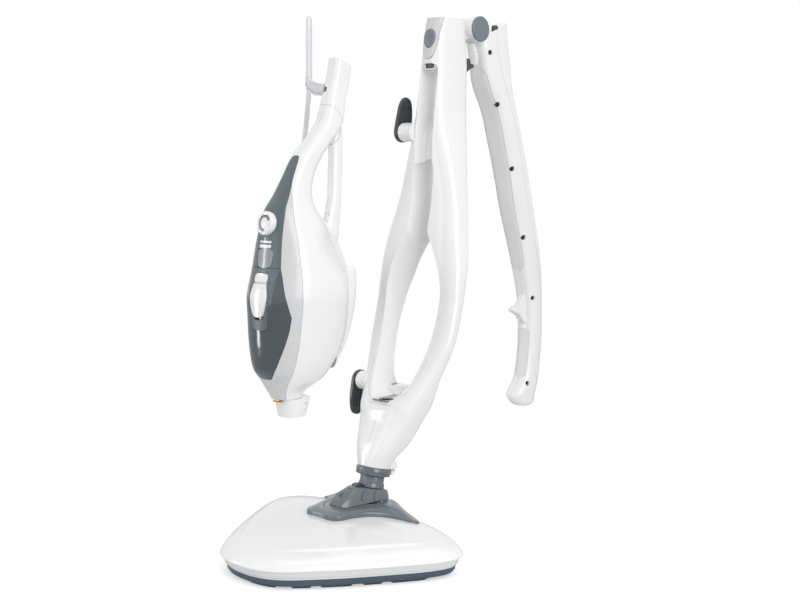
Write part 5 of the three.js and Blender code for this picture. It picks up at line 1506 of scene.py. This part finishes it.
for blade_y in (-6.3, 6.3):
    blade = prism("x", rounded(blade_y - 3, blade_y + 3, PLUG_TOP - 52, PLUG_TOP - 30, 1.2), -0.8, 0.8, 0.2)
    name = "plug_blade_front" if blade_y < 0 else "plug_blade_back"
    piece(name, shift(blade, x, PLUG_Y), BRASS, "hand_unit")
plug = piece("plug_body", shift(grip, x, PLUG_Y), WHITE, "hand_unit", "plug")

[v * MM for v in route[0]]

# ------------------------------------------------------------------ CAD pieces that stay as they are

KEPT = {
    "base_tray": PALE, "steam_spreader": SLATE, "tilt_pin": STEEL,
    "mast_steam_pipe": SEAL, "steam_socket": SEAL, "circuit_board": BOARD, "boiler": STEEL, "pump": BLACK,
    "nozzle_pipe": BRASS,
}
for node, material in KEPT.items():
    kept = frame["nodes"][node]
    kept.data.materials.clear()
    kept.data.materials.append(material)

# ------------------------------------------------------------------ floor, light and world

sheet = bpy.data.meshes.new("floor")
sheet.from_pydata([(-6, -6, 0), (6, -6, 0), (6, 6, 0), (-6, 6, 0)], [], [(0, 1, 2, 3)])
floor = new_object("floor", sheet)
# matt studio paper: the eye sees a clean white sheet that keeps the soft shadow under the head
paper, paper_tree, paper_bsdf = surface("white_studio_paper", Roughness=0.9, Specular_IOR_Level=0.1)
paper_place = add(paper_tree, "ShaderNodeTexCoord").outputs["Object"]
fibre = add(paper_tree, "ShaderNodeTexNoise", [("Scale", 400.0)], [("Vector", paper_place)])
paper_tone = add(paper_tree, "ShaderNodeMix", [(6, colour("#e6e6e6")), (7, colour("#eaeaea"))],
                 [(0, fibre.outputs["Fac"])], data_type="RGBA")
paper_tree.links.new(paper_tone.outputs[2], paper_bsdf.inputs["Base Color"])
paper_rays = add(paper_tree, "ShaderNodeLightPath").outputs["Is Camera Ray"]
lift = add(paper_tree, "ShaderNodeEmission", [("Color", colour("#b9b9b9"))], [("Strength", paper_rays)])
near = add(paper_tree, "ShaderNodeAddShader", (), [(0, paper_bsdf.outputs[0]), (1, lift.outputs[0])])
reach = add(paper_tree, "ShaderNodeVectorMath", (), [(0, paper_place)], operation="LENGTH")
fade = add(paper_tree, "ShaderNodeMapRange", [(1, 0.3), (2, 0.75)], [(0, reach.outputs["Value"])],
           interpolation_type="SMOOTHSTEP")
horizon = add(paper_tree, "ShaderNodeMix", [(6, colour("#bdbdbe")), (7, colour("#ffffff"))],
              [(0, paper_rays)], data_type="RGBA")
glow = add(paper_tree, "ShaderNodeEmission", [("Strength", 1.0)], [("Color", horizon.outputs[2])])
joined = add(paper_tree, "ShaderNodeMixShader", (), [(0, fade.outputs[0]), (1, near.outputs[0]),
                                                     (2, glow.outputs[0])])
paper_tree.links.new(joined.outputs[0], paper_tree.nodes["Material Output"].inputs["Surface"])
sheet.materials.append(paper)


def softbox(name, place, target, size, watts):
    """A rectangular soft light, aimed at a point; metres."""
    data = bpy.data.lights.new(name, "AREA")
    data.shape = "RECTANGLE"
    data.size, data.size_y = size
    data.energy = watts
    light = new_object(name, data)
    light.location = place
    light.rotation_euler = (Vector(target) - Vector(place)).to_track_quat("-Z", "Y").to_euler()


# key light from the right, a weak fill from the front left, a top light, and a narrow strip low at the front
# left that draws a line of light down the glossy parts
softbox("key", (2.3, -0.7, 1.3), (0, 0, 0.35), (1.5, 1.9), 36)
softbox("fill", (-0.9, -2.4, 1.0), (0, 0, 0.35), (1.0, 2.0), 8)
softbox("top", (0.1, 0.2, 2.6), (0, 0, 0.3), (2.0, 2.0), 11)
softbox("streak", (-1.0, -0.95, 0.2), (0, -0.15, 0.35), (0.12, 0.9), 3.2)

world = bpy.data.worlds.new("studio")
bpy.context.scene.world = world
world.use_nodes = True
sky = world.node_tree
sky.nodes.clear()
rays = add(sky, "ShaderNodeLightPath").outputs
mirrors = add(sky, "ShaderNodeMath", (), [(0, rays["Is Glossy Ray"]), (1, rays["Is Transmission Ray"])],
              operation="MAXIMUM")
direct = add(sky, "ShaderNodeMath", (), [(0, rays["Is Camera Ray"]), (1, mirrors.outputs[0])],
             operation="MAXIMUM")
seen = add(sky, "ShaderNodeMix", [(6, colour("#bfbfbf")), (7, colour("#ffffff"))],
           [(0, direct.outputs[0])], data_type="RGBA")
ground = add(sky, "ShaderNodeBackground", [("Strength", 1.0)], [("Color", seen.outputs[2])])
screen = add(sky, "ShaderNodeOutputWorld")
sky.links.new(ground.outputs[0], screen.inputs["Surface"])
bpy.context.scene.view_settings.view_transform = "Standard"
